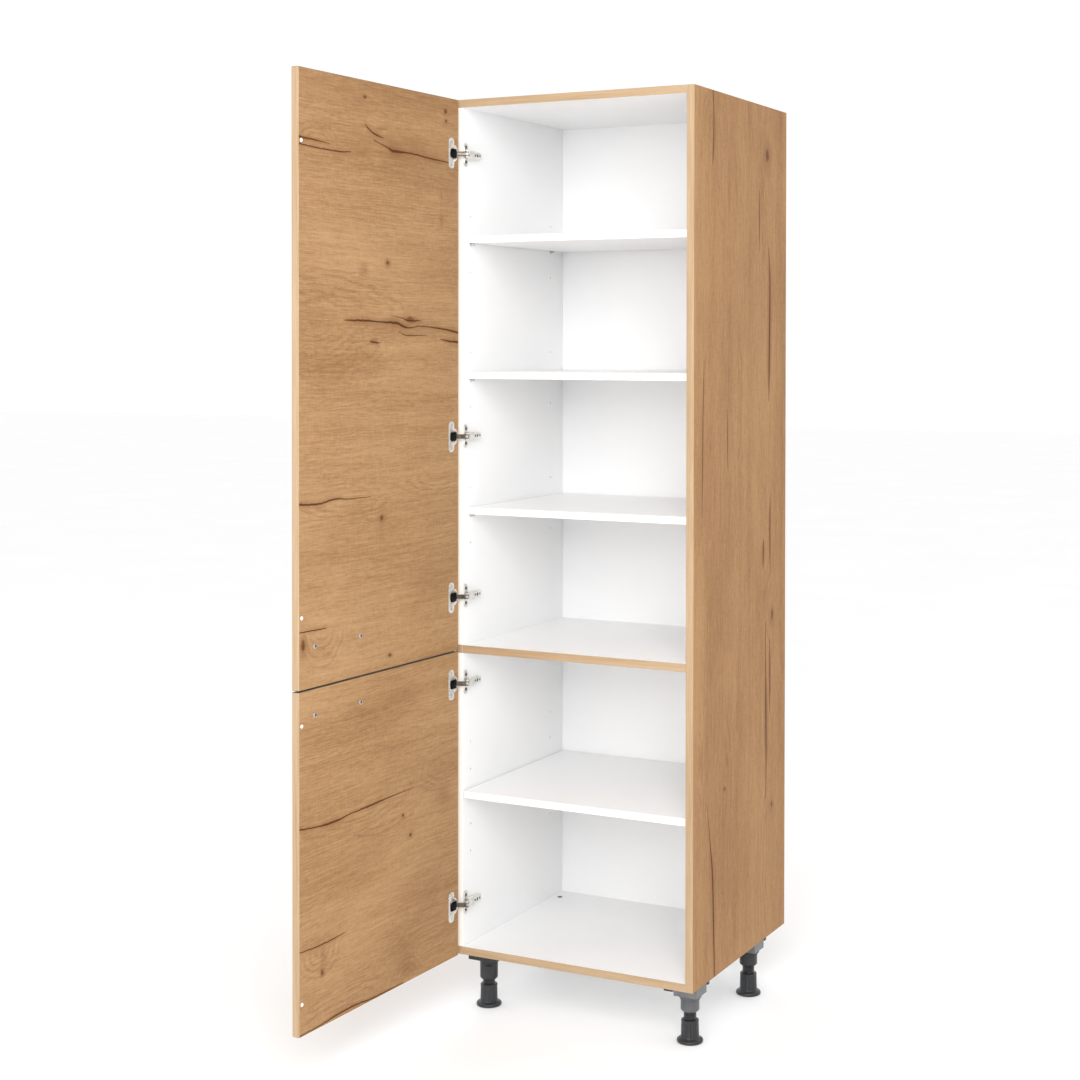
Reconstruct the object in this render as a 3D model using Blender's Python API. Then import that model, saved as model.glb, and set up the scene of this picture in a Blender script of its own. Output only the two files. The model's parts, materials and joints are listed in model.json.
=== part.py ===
"""Tall pantry cabinet with two doors, adjustable shelves, concealed hinges and levelling legs.

Cabinet coordinates: x runs from the left side's outer face, y from the carcass front to the back,
z up from the floor. The whole cabinet hangs under one empty that puts the origin at the middle of
the footprint of the cabinet as it stands with both doors open.
"""
import math

import bmesh
import bpy
from mathutils import Matrix, Vector

# ---------------------------------------------------------------- driving dimensions (metres)
WIDTH = 0.600
DEPTH = 0.560
CARCASS_HEIGHT = 1.980
LEG_HEIGHT = 0.138
BOARD = 0.018
BACK_BOARD = 0.003
BACK_FRONT_Y = 0.500
GROOVE_DEPTH = 0.008
MIDDLE_BOARD_Z = 0.8485
GAP = 0.0003
EDGE_BEVEL = 0.0005

SHELF_BOARD = 0.016
SHELF_SIDE_GAP = 0.0016
SHELF_SETBACK = 0.025
LOWER_SHELF_SETBACK = 0.002
SHELF_BACK_Y = 0.496

PIN_ROWS_Y = (0.037, 0.433)
HOLE_STEP = 0.064
HOLE_RADIUS = 0.00275
HOLE_DEPTH = 0.011
PIN_SHAFT_RADIUS = 0.00235
PIN_STUB_RADIUS = 0.0028
PIN_COLLAR_RADIUS = 0.0040
UPPER_SHELF_PINS_Z = (1.786, 1.471, 1.156)
LOWER_SHELF_PIN_Z = 0.4987

DOOR_WIDTH = 0.597
DOOR_SIDE_GAP = 0.0015
DOOR_FRONT_GAP = 0.002
DOOR_SPLIT_Z = 0.8455
DOOR_SPLIT_GAP = 0.003
DOOR_OPEN = math.radians(92.0)
DOOR_AXIS = (0.0032, -0.0107)

UPPER_HINGES_Z = (1.992, 1.3415, 0.9715)
LOWER_HINGES_Z = (0.7705, 0.257)
CUP_CENTRE = 0.022
CUP_RADIUS = 0.0174
CUP_BORE_RADIUS = 0.0164
CUP_DEPTH = 0.012
CUP_FLANGE_RADIUS = 0.0195
CUP_WING_HALF = 0.035
CUP_WING_BACK = 0.003
CUP_FLANGE = 0.0012
LINK_AXIS = (0.034, -0.007)
LINK_REACH = 0.02418
LINK_ANGLE = math.radians(207.95)
LINK_RADIUS = 0.0014
LINK_EYE_RADIUS = 0.0025
LINK_HALF_HEIGHT = 0.0042

HANDLE_SPACING = 0.160
HANDLE_EDGE_DISTANCE = 0.0545
HANDLE_RADIUS = 0.006
HANDLE_STANDOFF = 0.032
HANDLE_BEND = 0.012
UPPER_HANDLE_Z = 0.932
LOWER_HANDLE_Z = 0.790

LEG_INSET_X = 0.042
LEG_ROWS_Y = (0.082, 0.430)
SLEEVE_RADIUS = 0.021
SLEEVE_BOTTOM_Z = 0.061
LEG_BORE_RADIUS = 0.0155
LEG_BORE_TOP_Z = 0.120
LEG_PLATE_HALF = 0.030
STEM_RADIUS = 0.0142
STEM_TOP_Z = 0.105
COLLAR_TOP_Z = 0.051
COLLAR_BOTTOM_Z = 0.016
COLLAR_RADIUS = 0.0198
COLLAR_GROOVE_RADIUS = 0.0186
FOOT_RADIUS = 0.0295

# ---------------------------------------------------------------- derived dimensions
BOTTOM_Z = LEG_HEIGHT
TOP_Z = LEG_HEIGHT + CARCASS_HEIGHT
INNER_LEFT = BOARD
INNER_RIGHT = WIDTH - BOARD
DOOR_TOP_Z = TOP_Z - DOOR_SIDE_GAP


def swing(point):
    """Turn a closed-door point (x, y) about the door axis to the open rest pose."""
    turned = Matrix.Rotation(-DOOR_OPEN, 2) @ (Vector(point) - Vector(DOOR_AXIS))
    return turned + Vector(DOOR_AXIS)


def footprint_centre():
    """Middle of the floor rectangle that the open cabinet covers."""
    door_left = DOOR_SIDE_GAP
    free_edge = swing((door_left + DOOR_WIDTH, -DOOR_FRONT_GAP))
    bend_x = door_left + DOOR_WIDTH - HANDLE_EDGE_DISTANCE - HANDLE_BEND
    bend_y = -DOOR_FRONT_GAP - BOARD - GAP - HANDLE_STANDOFF + HANDLE_BEND
    handle_left = swing((bend_x, bend_y)).x - HANDLE_BEND - HANDLE_RADIUS
    return ((handle_left + WIDTH) / 2, (free_edge.y + DEPTH) / 2)


# ---------------------------------------------------------------- scene helpers
def clear_scene():
    for item in list(bpy.data.objects):
        bpy.data.objects.remove(item, do_unlink=True)


def make_material(name, colour, roughness, metallic=0.0):
    material = bpy.data.materials.new(name)
    material.use_nodes = True
    shader = material.node_tree.nodes["Principled BSDF"]
    shader.inputs["Base Color"].default_value = (*colour, 1.0)
    shader.inputs["Roughness"].default_value = roughness
    shader.inputs["Metallic"].default_value = metallic
    material.diffuse_color = (*colour, 1.0)
    return material


def make_empty(name, location, parent=None, turn=0.0):
    empty = bpy.data.objects.new(name, None)
    empty.location = location
    empty.rotation_euler = (0.0, 0.0, turn)
    empty.parent = parent
    bpy.context.collection.objects.link(empty)
    return empty


def make_object(name, builder, material, parent, location=(0.0, 0.0, 0.0), smooth=False):
    """Turn a finished bmesh into a named object, with its faces pointing out."""
    bmesh.ops.recalc_face_normals(builder, faces=builder.faces)
    mesh = bpy.data.meshes.new(name)
    builder.to_mesh(mesh)
    builder.free()
    if smooth:
        mesh.shade_smooth()
        mesh.set_sharp_from_angle(angle=math.radians(35.0))
    mesh.materials.append(material)
    item = bpy.data.objects.new(name, mesh)
    item.location = location
    item.parent = parent
    bpy.context.collection.objects.link(item)
    return item


def share_mesh(name, original, parent, location):
    """A repeat of a piece that already exists, sharing its mesh."""
    item = bpy.data.objects.new(name, original.data)
    item.location = location
    item.parent = parent
    bpy.context.collection.objects.link(item)
    return item


def hide_tool(item):
    item.hide_render = True
    item.display_type = "WIRE"
    return item


def add_boolean(item, tool, operation):
    modifier = item.modifiers.new(operation.title(), "BOOLEAN")
    modifier.operation = operation
    modifier.solver = "EXACT"
    modifier.object = tool


# ---------------------------------------------------------------- shape helpers
def loft(loops):
    """Closed solid through rings of equal point counts, capped at both ends."""
    builder = bmesh.new()
    rings = [[builder.verts.new(point) for point in loop] for loop in loops]
    count = len(rings[0])
    for lower, upper in zip(rings, rings[1:]):
        for index in range(count):
            following = (index + 1) % count
            builder.faces.new((lower[index], lower[following], upper[following], upper[index]))
    builder.faces.new(rings[0])
    builder.faces.new(rings[-1])
    return builder


def circle(radius, height, count):
    """Ring of points about the z axis."""
    angles = [2 * math.pi * index / count for index in range(count)]
    return [(radius * math.cos(a), radius * math.sin(a), height) for a in angles]


def turned(profile, count):
    """Solid of revolution about z through (radius, height) pairs."""
    return loft([circle(radius, height, count) for radius, height in profile])


def prism(outline, low, high, axis):
    """Extrude a 2-D outline from low to high along one axis (0, 1 or 2)."""
    def place(point, height):
        spot = list(point)
        spot.insert(axis, height)
        return spot
    return loft([[place(point, low) for point in outline], [place(point, high) for point in outline]])


def block(low, high, bevel=EDGE_BEVEL):
    """Box between two corners with small chamfered edges."""
    outline = [(low[0], low[1]), (high[0], low[1]), (high[0], high[1]), (low[0], high[1])]
    builder = prism(outline, low[2], high[2], axis=2)
    if bevel:
        bmesh.ops.bevel(builder, geom=builder.edges[:], offset=bevel, segments=1,
                        affect="EDGES", clamp_overlap=True)
    return builder


def arc(centre, radius, start, end, steps):
    """Points of a round stretch of outline, angles in degrees."""
    angles = [math.radians(start + (end - start) * step / steps) for step in range(steps + 1)]
    return [(centre[0] + radius * math.cos(a), centre[1] + radius * math.sin(a)) for a in angles]


def bevel_long_edges(builder, axis, width=EDGE_BEVEL):
    """Chamfer the edges that run along one axis, on outside corners only."""
    bmesh.ops.recalc_face_normals(builder, faces=builder.faces)
    chosen = []
    for edge in builder.edges:
        run = edge.verts[1].co - edge.verts[0].co
        if abs(run[axis]) > 0.9 * run.length and edge.is_convex:
            chosen.append(edge)
    bmesh.ops.bevel(builder, geom=chosen, offset=width, segments=1, affect="EDGES", clamp_overlap=True)
    return builder


# ---------------------------------------------------------------- carcass
def build_sides(root, oak):
    """Two side panels with a groove for the back board and rows of shelf-pin holes."""
    groove_front = BACK_FRONT_Y - GAP
    groove_back = BACK_FRONT_Y + BACK_BOARD + GAP
    depth = BOARD - GROOVE_DEPTH
    left = [(0, 0), (BOARD, 0), (BOARD, groove_front), (depth, groove_front),
            (depth, groove_back), (BOARD, groove_back), (BOARD, DEPTH), (0, DEPTH)]
    right = [(WIDTH - x, y) for x, y in left]
    for name, outline, face, inward in (("side_left", left, INNER_LEFT, 1), ("side_right", right, INNER_RIGHT, -1)):
        builder = bevel_long_edges(prism(outline, BOTTOM_Z, TOP_Z, axis=2), axis=2)
        panel = make_object(name, builder, oak, root)
        add_boolean(panel, pin_hole_cutter(name + "_holes", root, face, inward), "DIFFERENCE")


def pin_hole_heights():
    """Heights of the drilled holes: three around each upper shelf, five around the lower one."""
    upper = [z + step * HOLE_STEP for z in UPPER_SHELF_PINS_Z for step in (1, 0, -1)]
    lower = [LOWER_SHELF_PIN_Z + step * HOLE_STEP for step in (2, 1, 0, -1, -2)]
    return upper + lower


def pin_hole_cutter(name, root, face, inward):
    cutter = bmesh.new()
    for y in PIN_ROWS_Y:
        for z in pin_hole_heights():
            place = Matrix.Translation((face - inward * (HOLE_DEPTH - 0.002) / 2, y, z))
            bmesh.ops.create_cone(cutter, cap_ends=True, segments=12, radius1=HOLE_RADIUS,
                                  radius2=HOLE_RADIUS, depth=HOLE_DEPTH + 0.002,
                                  matrix=place @ Matrix.Rotation(math.pi / 2, 4, "Y"))
    return hide_tool(make_object(name, cutter, None, root))


def build_crosswise_boards(root, oak, white):
    """Top and bottom with a groove for the back board, and the fixed middle board."""
    low_x = INNER_LEFT + GAP
    high_x = INNER_RIGHT - GAP
    groove_front = BACK_FRONT_Y - GAP
    groove_back = BACK_FRONT_Y + BACK_BOARD + GAP
    depth = BOARD - GROOVE_DEPTH
    outline = [(0, 0), (DEPTH, 0), (DEPTH, BOARD), (groove_back, BOARD),
               (groove_back, depth), (groove_front, depth), (groove_front, BOARD), (0, BOARD)]
    bottom = [(y, BOTTOM_Z + z) for y, z in outline]
    top = [(y, TOP_Z - z) for y, z in outline]
    for name, shape in (("bottom_panel", bottom), ("top_panel", top)):
        make_object(name, bevel_long_edges(prism(shape, low_x, high_x, axis=0), axis=0), oak, root)
    middle = block((low_x, 0, MIDDLE_BOARD_Z - BOARD / 2), (high_x, BACK_FRONT_Y - GAP, MIDDLE_BOARD_Z + BOARD / 2))
    make_object("middle_panel", middle, oak, root)
    reach = GROOVE_DEPTH - GAP
    back = block((INNER_LEFT - reach, BACK_FRONT_Y, BOTTOM_Z + BOARD - reach),
                 (INNER_RIGHT + reach, BACK_FRONT_Y + BACK_BOARD, TOP_Z - BOARD + reach), bevel=0)
    make_object("back_panel", back, white, root)


# ---------------------------------------------------------------- shelves and their pins
def shelf_pin():
    """Pin pointing along +z: shaft in the hole, collar on the panel, stub under the shelf."""
    collar_start = GAP
    collar_end = collar_start + 0.0010
    stub_end = 0.0090
    return turned([(PIN_SHAFT_RADIUS, -0.009), (PIN_SHAFT_RADIUS, collar_start), (PIN_COLLAR_RADIUS, collar_start),
                   (PIN_COLLAR_RADIUS, collar_end), (PIN_STUB_RADIUS, collar_end), (PIN_STUB_RADIUS, stub_end)], 12)


def build_shelves(root, white, steel):
    """Four loose shelves, each lying on four pins."""
    shelves = [(f"shelf_{number}", z, SHELF_SETBACK) for number, z in enumerate(UPPER_SHELF_PINS_Z, 1)]
    shelves.append(("shelf_4", LOWER_SHELF_PIN_Z, LOWER_SHELF_SETBACK))
    corners = [("front_left", INNER_LEFT, PIN_ROWS_Y[0], 1), ("front_right", INNER_RIGHT, PIN_ROWS_Y[0], -1),
               ("rear_left", INNER_LEFT, PIN_ROWS_Y[1], 1), ("rear_right", INNER_RIGHT, PIN_ROWS_Y[1], -1)]
    for name, pin_z, setback in shelves:
        under = pin_z + PIN_STUB_RADIUS + GAP
        board = block((INNER_LEFT + SHELF_SIDE_GAP, setback, under),
                      (INNER_RIGHT - SHELF_SIDE_GAP, SHELF_BACK_Y, under + SHELF_BOARD))
        make_object(name, board, white, root)
        for corner, x, y, inward in corners:
            builder = shelf_pin()
            bmesh.ops.rotate(builder, verts=builder.verts, cent=(0, 0, 0),
                             matrix=Matrix.Rotation(inward * math.pi / 2, 3, "Y"))
            make_object(f"{name}_pin_{corner}", builder, steel, root, (x, y, pin_z), smooth=True)


# ---------------------------------------------------------------- hinges
def flange_outline():
    """Outline of the cup's flange about the cup's centre: a disc with a tall wing on its far side."""
    wing = CUP_FLANGE_RADIUS
    corner = 0.004
    meet = math.degrees(math.acos(-CUP_WING_BACK / CUP_FLANGE_RADIUS))
    upper = [(wing, z) for z in (0.0, 0.005, 0.0105, 0.018, 0.025)]
    upper += arc((wing - corner, CUP_WING_HALF - corner), corner, 30, 90, 2)
    upper += arc((-CUP_WING_BACK + corner, CUP_WING_HALF - corner), corner, 90, 180, 3)
    upper += arc((0.0, 0.0), CUP_FLANGE_RADIUS, meet, 180, 5)
    lower = [(x, -z) for x, z in reversed(upper[1:-1])]
    return upper + lower


def hinge_cup():
    """Flange, wall and floor of the cup; local x across the door, y out of its inner face."""
    outline = flange_outline()

    def outer(height):
        return [(x, height, z) for x, z in outline]

    def ring(radius, height):
        return [(x * radius / math.hypot(x, z), height, z * radius / math.hypot(x, z)) for x, z in outline]

    return loft([ring(CUP_BORE_RADIUS, 0.001 - CUP_DEPTH), ring(CUP_BORE_RADIUS, GAP + CUP_FLANGE),
                 outer(GAP + CUP_FLANGE), outer(GAP), ring(CUP_RADIUS, GAP), ring(CUP_RADIUS, -CUP_DEPTH)])


def hinge_link():
    """Flat link from the arm's pin to the mouth of the cup; local origin on the pin."""
    outline = arc((0.0, 0.0), LINK_EYE_RADIUS, 40, 320, 8)
    outline += arc((LINK_REACH, 0.0), LINK_RADIUS, -90, 90, 4)
    return prism(outline, -LINK_HALF_HEIGHT, LINK_HALF_HEIGHT, axis=2)


def arm_channel():
    """Channel that clips over the mounting plate's block, seen along y."""
    outline = [(0.0212, -0.0100), (0.0212, -0.0076), (0.0300, -0.0076), (0.0300, 0.0076),
               (0.0212, 0.0076), (0.0212, 0.0100), (0.0325, 0.0100), (0.0335, 0.0085),
               (0.0335, -0.0085), (0.0325, -0.0100)]
    return prism(outline, 0.004, 0.066, axis=1)


def arm_cheek(low, high):
    """Cheek of the fork that holds the link's pin."""
    outline = arc(LINK_AXIS, 0.0030, 180, 360, 6) + [(0.0335, 0.012), (0.0296, 0.012)]
    return prism(outline, low, high, axis=2)


def mounting_plate():
    """Base plate of the arm with wings above and below; local z is the hinge's height."""
    wing = 0.0275
    half = 0.0072
    corner = 0.003
    outline = [(0.062, -half), (0.062, half), (0.018, half)]
    outline += arc((0.018 - corner, wing - corner), corner, 0, 90, 2)
    outline += arc((0.003 + corner, wing - corner), corner, 90, 180, 2)
    outline += [(y, -z) for y, z in reversed(outline[2:])]
    return prism(outline, INNER_LEFT + GAP, INNER_LEFT + 0.0025, axis=0)


def build_hinge(label, height, root, door_axis, link_axis, nickel, black):
    """One concealed hinge: cup in the door, link, arm with fork and pin, mounting plate."""
    cup_place = (DOOR_SIDE_GAP + CUP_CENTRE - DOOR_AXIS[0], -DOOR_FRONT_GAP - DOOR_AXIS[1], height)
    make_object(f"{label}_cup", hinge_cup(), nickel, door_axis, cup_place, smooth=True)

    link = make_object(f"{label}_link", hinge_link(), nickel, link_axis, (0, 0, height))
    link_bore = bmesh.new()
    bmesh.ops.create_cone(link_bore, cap_ends=True, segments=10, radius1=0.0017, radius2=0.0017, depth=0.02)
    add_boolean(link, hide_tool(make_object(f"{label}_link_bore", link_bore, None, link_axis, (0, 0, height))),
                "DIFFERENCE")

    arm = make_object(f"{label}_arm", arm_channel(), nickel, root, (0, 0, height))
    for side, low, high in (("upper", 0.0053, 0.0074), ("lower", -0.0074, -0.0053)):
        cheek = hide_tool(make_object(f"{label}_cheek_{side}", arm_cheek(low, high), None, root, (0, 0, height)))
        add_boolean(arm, cheek, "UNION")
    pin = bmesh.new()
    bmesh.ops.create_cone(pin, cap_ends=True, segments=10, radius1=0.0012, radius2=0.0012, depth=0.0144)
    pin_place = (*LINK_AXIS, height)
    add_boolean(arm, hide_tool(make_object(f"{label}_pin", pin, None, root, pin_place)), "UNION")

    plate = make_object(f"{label}_plate", mounting_plate(), black, root, (0, 0, height))
    riser = block((INNER_LEFT + 0.001, 0.014, -0.0072), (0.0297, 0.062, 0.0072), bevel=0)
    add_boolean(plate, hide_tool(make_object(f"{label}_riser", riser, None, root, (0, 0, height))), "UNION")


# ---------------------------------------------------------------- doors and handles
def build_door(label, low_z, high_z, hinge_heights, handle_z, root, materials):
    """Door leaf on its axis, with cup pockets, hinges, links and handle."""
    door_axis = make_empty(f"{label}_door_axis", (*DOOR_AXIS, 0.0), root, -DOOR_OPEN)
    link_axis = make_empty(f"{label}_link_axis", (*LINK_AXIS, 0.0), root, LINK_ANGLE)
    left = DOOR_SIDE_GAP - DOOR_AXIS[0]
    inner = -DOOR_FRONT_GAP - DOOR_AXIS[1]
    leaf = block((left, inner - BOARD, low_z), (left + DOOR_WIDTH, inner, high_z), bevel=0.0008)
    door = make_object(f"{label}_door", leaf, materials["oak"], door_axis)
    pockets = bmesh.new()
    for height in hinge_heights:
        place = Matrix.Translation((left + CUP_CENTRE, inner - CUP_DEPTH / 2 + 0.001, height))
        bmesh.ops.create_cone(pockets, cap_ends=True, segments=32, radius1=CUP_RADIUS + 0.0006,
                              radius2=CUP_RADIUS + 0.0006, depth=CUP_DEPTH + 0.003,
                              matrix=place @ Matrix.Rotation(math.pi / 2, 4, "X"))
    add_boolean(door, hide_tool(make_object(f"{label}_door_pockets", pockets, None, door_axis)), "DIFFERENCE")

    outer_screw = left + DOOR_WIDTH - HANDLE_EDGE_DISTANCE
    handle_place = (outer_screw - HANDLE_SPACING / 2, inner - BOARD - GAP, handle_z)
    make_object(f"{label}_handle", bar_handle(), materials["steel"], door_axis, handle_place, smooth=True)
    for number, height in enumerate(hinge_heights, 1):
        build_hinge(f"{label}_hinge_{number}", height, root, door_axis, link_axis,
                    materials["nickel"], materials["plate"])


def bar_handle():
    """Bent round bar: two posts and a long grip in one sweep, local y pointing into the door."""
    half = HANDLE_SPACING / 2
    out = -HANDLE_STANDOFF
    bend = HANDLE_BEND
    centre_line = [Vector((-half, 0.0)), Vector((-half, out + bend))]
    centre_line += [Vector(p) for p in arc((-half + bend, out + bend), bend, 180, 270, 5)[1:]]
    centre_line += [Vector((-p.x, p.y)) for p in reversed(centre_line)]
    rings = []
    for index, point in enumerate(centre_line):
        before = centre_line[max(index - 1, 0)]
        after = centre_line[min(index + 1, len(centre_line) - 1)]
        run = (after - before).normalized()
        side = Vector((run.y, -run.x))
        ring = []
        for step in range(12):
            turn = 2 * math.pi * step / 12
            spot = point + side * HANDLE_RADIUS * math.cos(turn)
            ring.append((spot.x, spot.y, HANDLE_RADIUS * math.sin(turn)))
        rings.append(ring)
    return loft(rings)


# ---------------------------------------------------------------- legs
def leg_socket():
    """Mounting flange, stepped neck and sleeve, with a blind bore for the stem from below."""
    count = 24
    top = BOTTOM_Z - GAP

    def plate(height, half):
        points = circle(1.0, height, count)
        reach = [half / max(abs(x), abs(y)) for x, y, _ in points]
        return [(x * min(r, half * 1.25), y * min(r, half * 1.25), z) for (x, y, z), r in zip(points, reach)]

    loops = [plate(top, LEG_PLATE_HALF), plate(top - 0.010, LEG_PLATE_HALF), plate(top - 0.0105, 0.0255),
             circle(0.0245, top - 0.024, count), circle(0.0225, top - 0.0245, count),
             circle(0.0220, top - 0.032, count), circle(SLEEVE_RADIUS, top - 0.033, count),
             circle(SLEEVE_RADIUS, SLEEVE_BOTTOM_Z + 0.002, count),
             circle(SLEEVE_RADIUS - 0.0015, SLEEVE_BOTTOM_Z, count),
             circle(LEG_BORE_RADIUS, SLEEVE_BOTTOM_Z, count), circle(LEG_BORE_RADIUS, LEG_BORE_TOP_Z, count)]
    return loft(loops)


def leg_foot():
    """Levelling foot: round pad, ribbed collar to turn it by hand, stem in the sleeve."""
    count = 28

    def ribbed(height):
        points = circle(1.0, height, count)
        radii = [COLLAR_RADIUS if index % 2 else COLLAR_GROOVE_RADIUS for index in range(count)]
        return [(x * r, y * r, z) for (x, y, z), r in zip(points, radii)]

    return loft([circle(FOOT_RADIUS - 0.002, 0.0, count), circle(FOOT_RADIUS, 0.002, count),
                 circle(FOOT_RADIUS, 0.0075, count), circle(0.0235, COLLAR_BOTTOM_Z - 0.001, count),
                 ribbed(COLLAR_BOTTOM_Z), ribbed(COLLAR_TOP_Z - 0.002),
                 circle(COLLAR_GROOVE_RADIUS - 0.001, COLLAR_TOP_Z, count),
                 circle(STEM_RADIUS, COLLAR_TOP_Z, count), circle(STEM_RADIUS, STEM_TOP_Z - 0.002, count),
                 circle(STEM_RADIUS - 0.002, STEM_TOP_Z, count)])


def build_legs(root, dark):
    socket = None
    foot = None
    for row, y in zip(("front", "rear"), LEG_ROWS_Y):
        for side, x in (("left", LEG_INSET_X), ("right", WIDTH - LEG_INSET_X)):
            label = f"leg_{row}_{side}"
            if socket is None:
                socket = make_object(f"{label}_socket", leg_socket(), dark, root, (x, y, 0), smooth=True)
                foot = make_object(f"{label}_foot", leg_foot(), dark, root, (x, y, 0), smooth=True)
            else:
                share_mesh(f"{label}_socket", socket, root, (x, y, 0))
                share_mesh(f"{label}_foot", foot, root, (x, y, 0))


def main():
    clear_scene()
    oak = make_material("wild_oak_decor", (0.47, 0.28, 0.14), 0.55)
    white = make_material("white_melamine", (0.86, 0.86, 0.86), 0.45)
    materials = {
        "oak": oak,
        "steel": make_material("brushed_steel", (0.62, 0.62, 0.60), 0.35, 1.0),
        "nickel": make_material("nickel_plate", (0.72, 0.70, 0.64), 0.28, 1.0),
        "plate": make_material("zinc_plate", (0.66, 0.65, 0.62), 0.40, 1.0),
    }
    dark = make_material("dark_grey_plastic", (0.05, 0.05, 0.052), 0.50)

    centre = footprint_centre()
    root = make_empty("cabinet_origin", (-centre[0], -centre[1], 0.0))
    build_sides(root, oak)
    build_crosswise_boards(root, oak, white)
    build_shelves(root, white, materials["steel"])
    split = DOOR_SPLIT_GAP / 2
    build_door("upper", DOOR_SPLIT_Z + split, DOOR_TOP_Z, UPPER_HINGES_Z, UPPER_HANDLE_Z, root, materials)
    build_door("lower", BOTTOM_Z, DOOR_SPLIT_Z - split, LOWER_HINGES_Z, LOWER_HANDLE_Z, root, materials)
    build_legs(root, dark)


main()
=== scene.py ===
"""Looks of the pantry cabinet: materials, fittings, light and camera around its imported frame.

Lengths are metres. Cabinet coordinates run x from the left side's outer face, y from the carcass front
to the back, z up from the floor. Leaf coordinates belong to a door: s from its hinge edge towards its
free edge, out from its inner face into the cabinet, z up from the floor.
"""
import json
import math
import operator

import bmesh
import bpy
from mathutils import Matrix, Vector


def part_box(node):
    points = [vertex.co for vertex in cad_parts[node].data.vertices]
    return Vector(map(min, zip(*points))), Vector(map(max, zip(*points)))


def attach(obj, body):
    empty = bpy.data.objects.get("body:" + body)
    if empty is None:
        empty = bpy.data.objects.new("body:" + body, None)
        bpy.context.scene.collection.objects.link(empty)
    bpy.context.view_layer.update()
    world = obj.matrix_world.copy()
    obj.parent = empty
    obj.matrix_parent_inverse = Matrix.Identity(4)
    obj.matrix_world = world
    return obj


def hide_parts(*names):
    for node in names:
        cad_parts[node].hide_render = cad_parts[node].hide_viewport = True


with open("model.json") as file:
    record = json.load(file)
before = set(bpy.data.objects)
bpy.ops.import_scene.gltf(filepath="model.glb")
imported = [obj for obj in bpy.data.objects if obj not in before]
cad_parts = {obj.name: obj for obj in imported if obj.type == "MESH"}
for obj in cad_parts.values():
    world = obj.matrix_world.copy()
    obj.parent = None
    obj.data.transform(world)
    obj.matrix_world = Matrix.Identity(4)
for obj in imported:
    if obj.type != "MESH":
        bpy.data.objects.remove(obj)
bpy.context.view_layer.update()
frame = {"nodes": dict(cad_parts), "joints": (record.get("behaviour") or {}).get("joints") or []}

# ---------------------------------------------------------------- places read from the frame
LEFT_LOW, LEFT_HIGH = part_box("side_left")
RIGHT_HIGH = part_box("side_right")[1]
ORIGIN = Vector((LEFT_LOW.x, LEFT_LOW.y, 0.0))
WIDTH = RIGHT_HIGH.x - LEFT_LOW.x
DEPTH = LEFT_HIGH.y - LEFT_LOW.y
BOARD = LEFT_HIGH.x - LEFT_LOW.x
CARCASS_LOW = LEFT_LOW.z
CARCASS_TOP = LEFT_HIGH.z
MIDDLE_LOW, MIDDLE_HIGH = (corner.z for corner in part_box("middle_panel"))
SWING = next(joint for joint in frame["joints"] if joint["name"] == "upper_door_swing")
DOOR_OPEN = math.radians(SWING["range_deg"][1])
DOOR_AXIS = Vector((*SWING["pos_m"][:2], 0.0)) - ORIGIN

# ---------------------------------------------------------------- sizes of the fittings
LEAF_START = 0.0015
LEAF_INNER_Y = -0.002
LEAF_WIDTH = 0.597
LEAF_THICKNESS = 0.018
INNER_LEFT = BOARD
HINGES = [("upper", number) for number in (1, 2, 3)] + [("lower", number) for number in (1, 2)]
CUP_CENTRE = 0.022
CUP_RADIUS = 0.0195
CUP_WING = 0.035
CUP_OPENING = ((-0.0150, -0.0104), (0.0140, 0.0104))
CUP_FACE = 0.0015
LINK_AXIS = (0.034, -0.007)
LINK_REACH = 0.02418
LINK_ANGLE = 207.95
ARM_CREST = 0.0335
ARM_BASE = 0.0212
PLATE_FACE = INNER_LEFT + 0.0024
HANDLE_EDGE = 0.0545
HANDLE_SPACING = 0.160
HANDLE_REACH = 0.032
HANDLE_RADIUS = 0.006
HANDLE_BEND = 0.012
STOP_EDGE = 0.009
SOCKET_TOP = CARCASS_LOW - 0.0003
SLEEVE_RADIUS = 0.0210
SLEEVE_BORE = 0.0180
THREAD_RADIUS = 0.0142
THREAD_ROOT = 0.0130
THREAD_PITCH = 0.0044
THREAD_START = 0.0510


def at(x, y, z):
    """Cabinet coordinates to the frame's own."""
    return ORIGIN + Vector((x, y, z))


CABINET = Matrix.Translation(ORIGIN)
LEAF = (CABINET @ Matrix.Translation(DOOR_AXIS) @ Matrix.Rotation(-DOOR_OPEN, 4, "Z")
        @ Matrix.Translation(-DOOR_AXIS) @ Matrix.Translation((LEAF_START, LEAF_INNER_Y, 0.0)))


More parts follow.
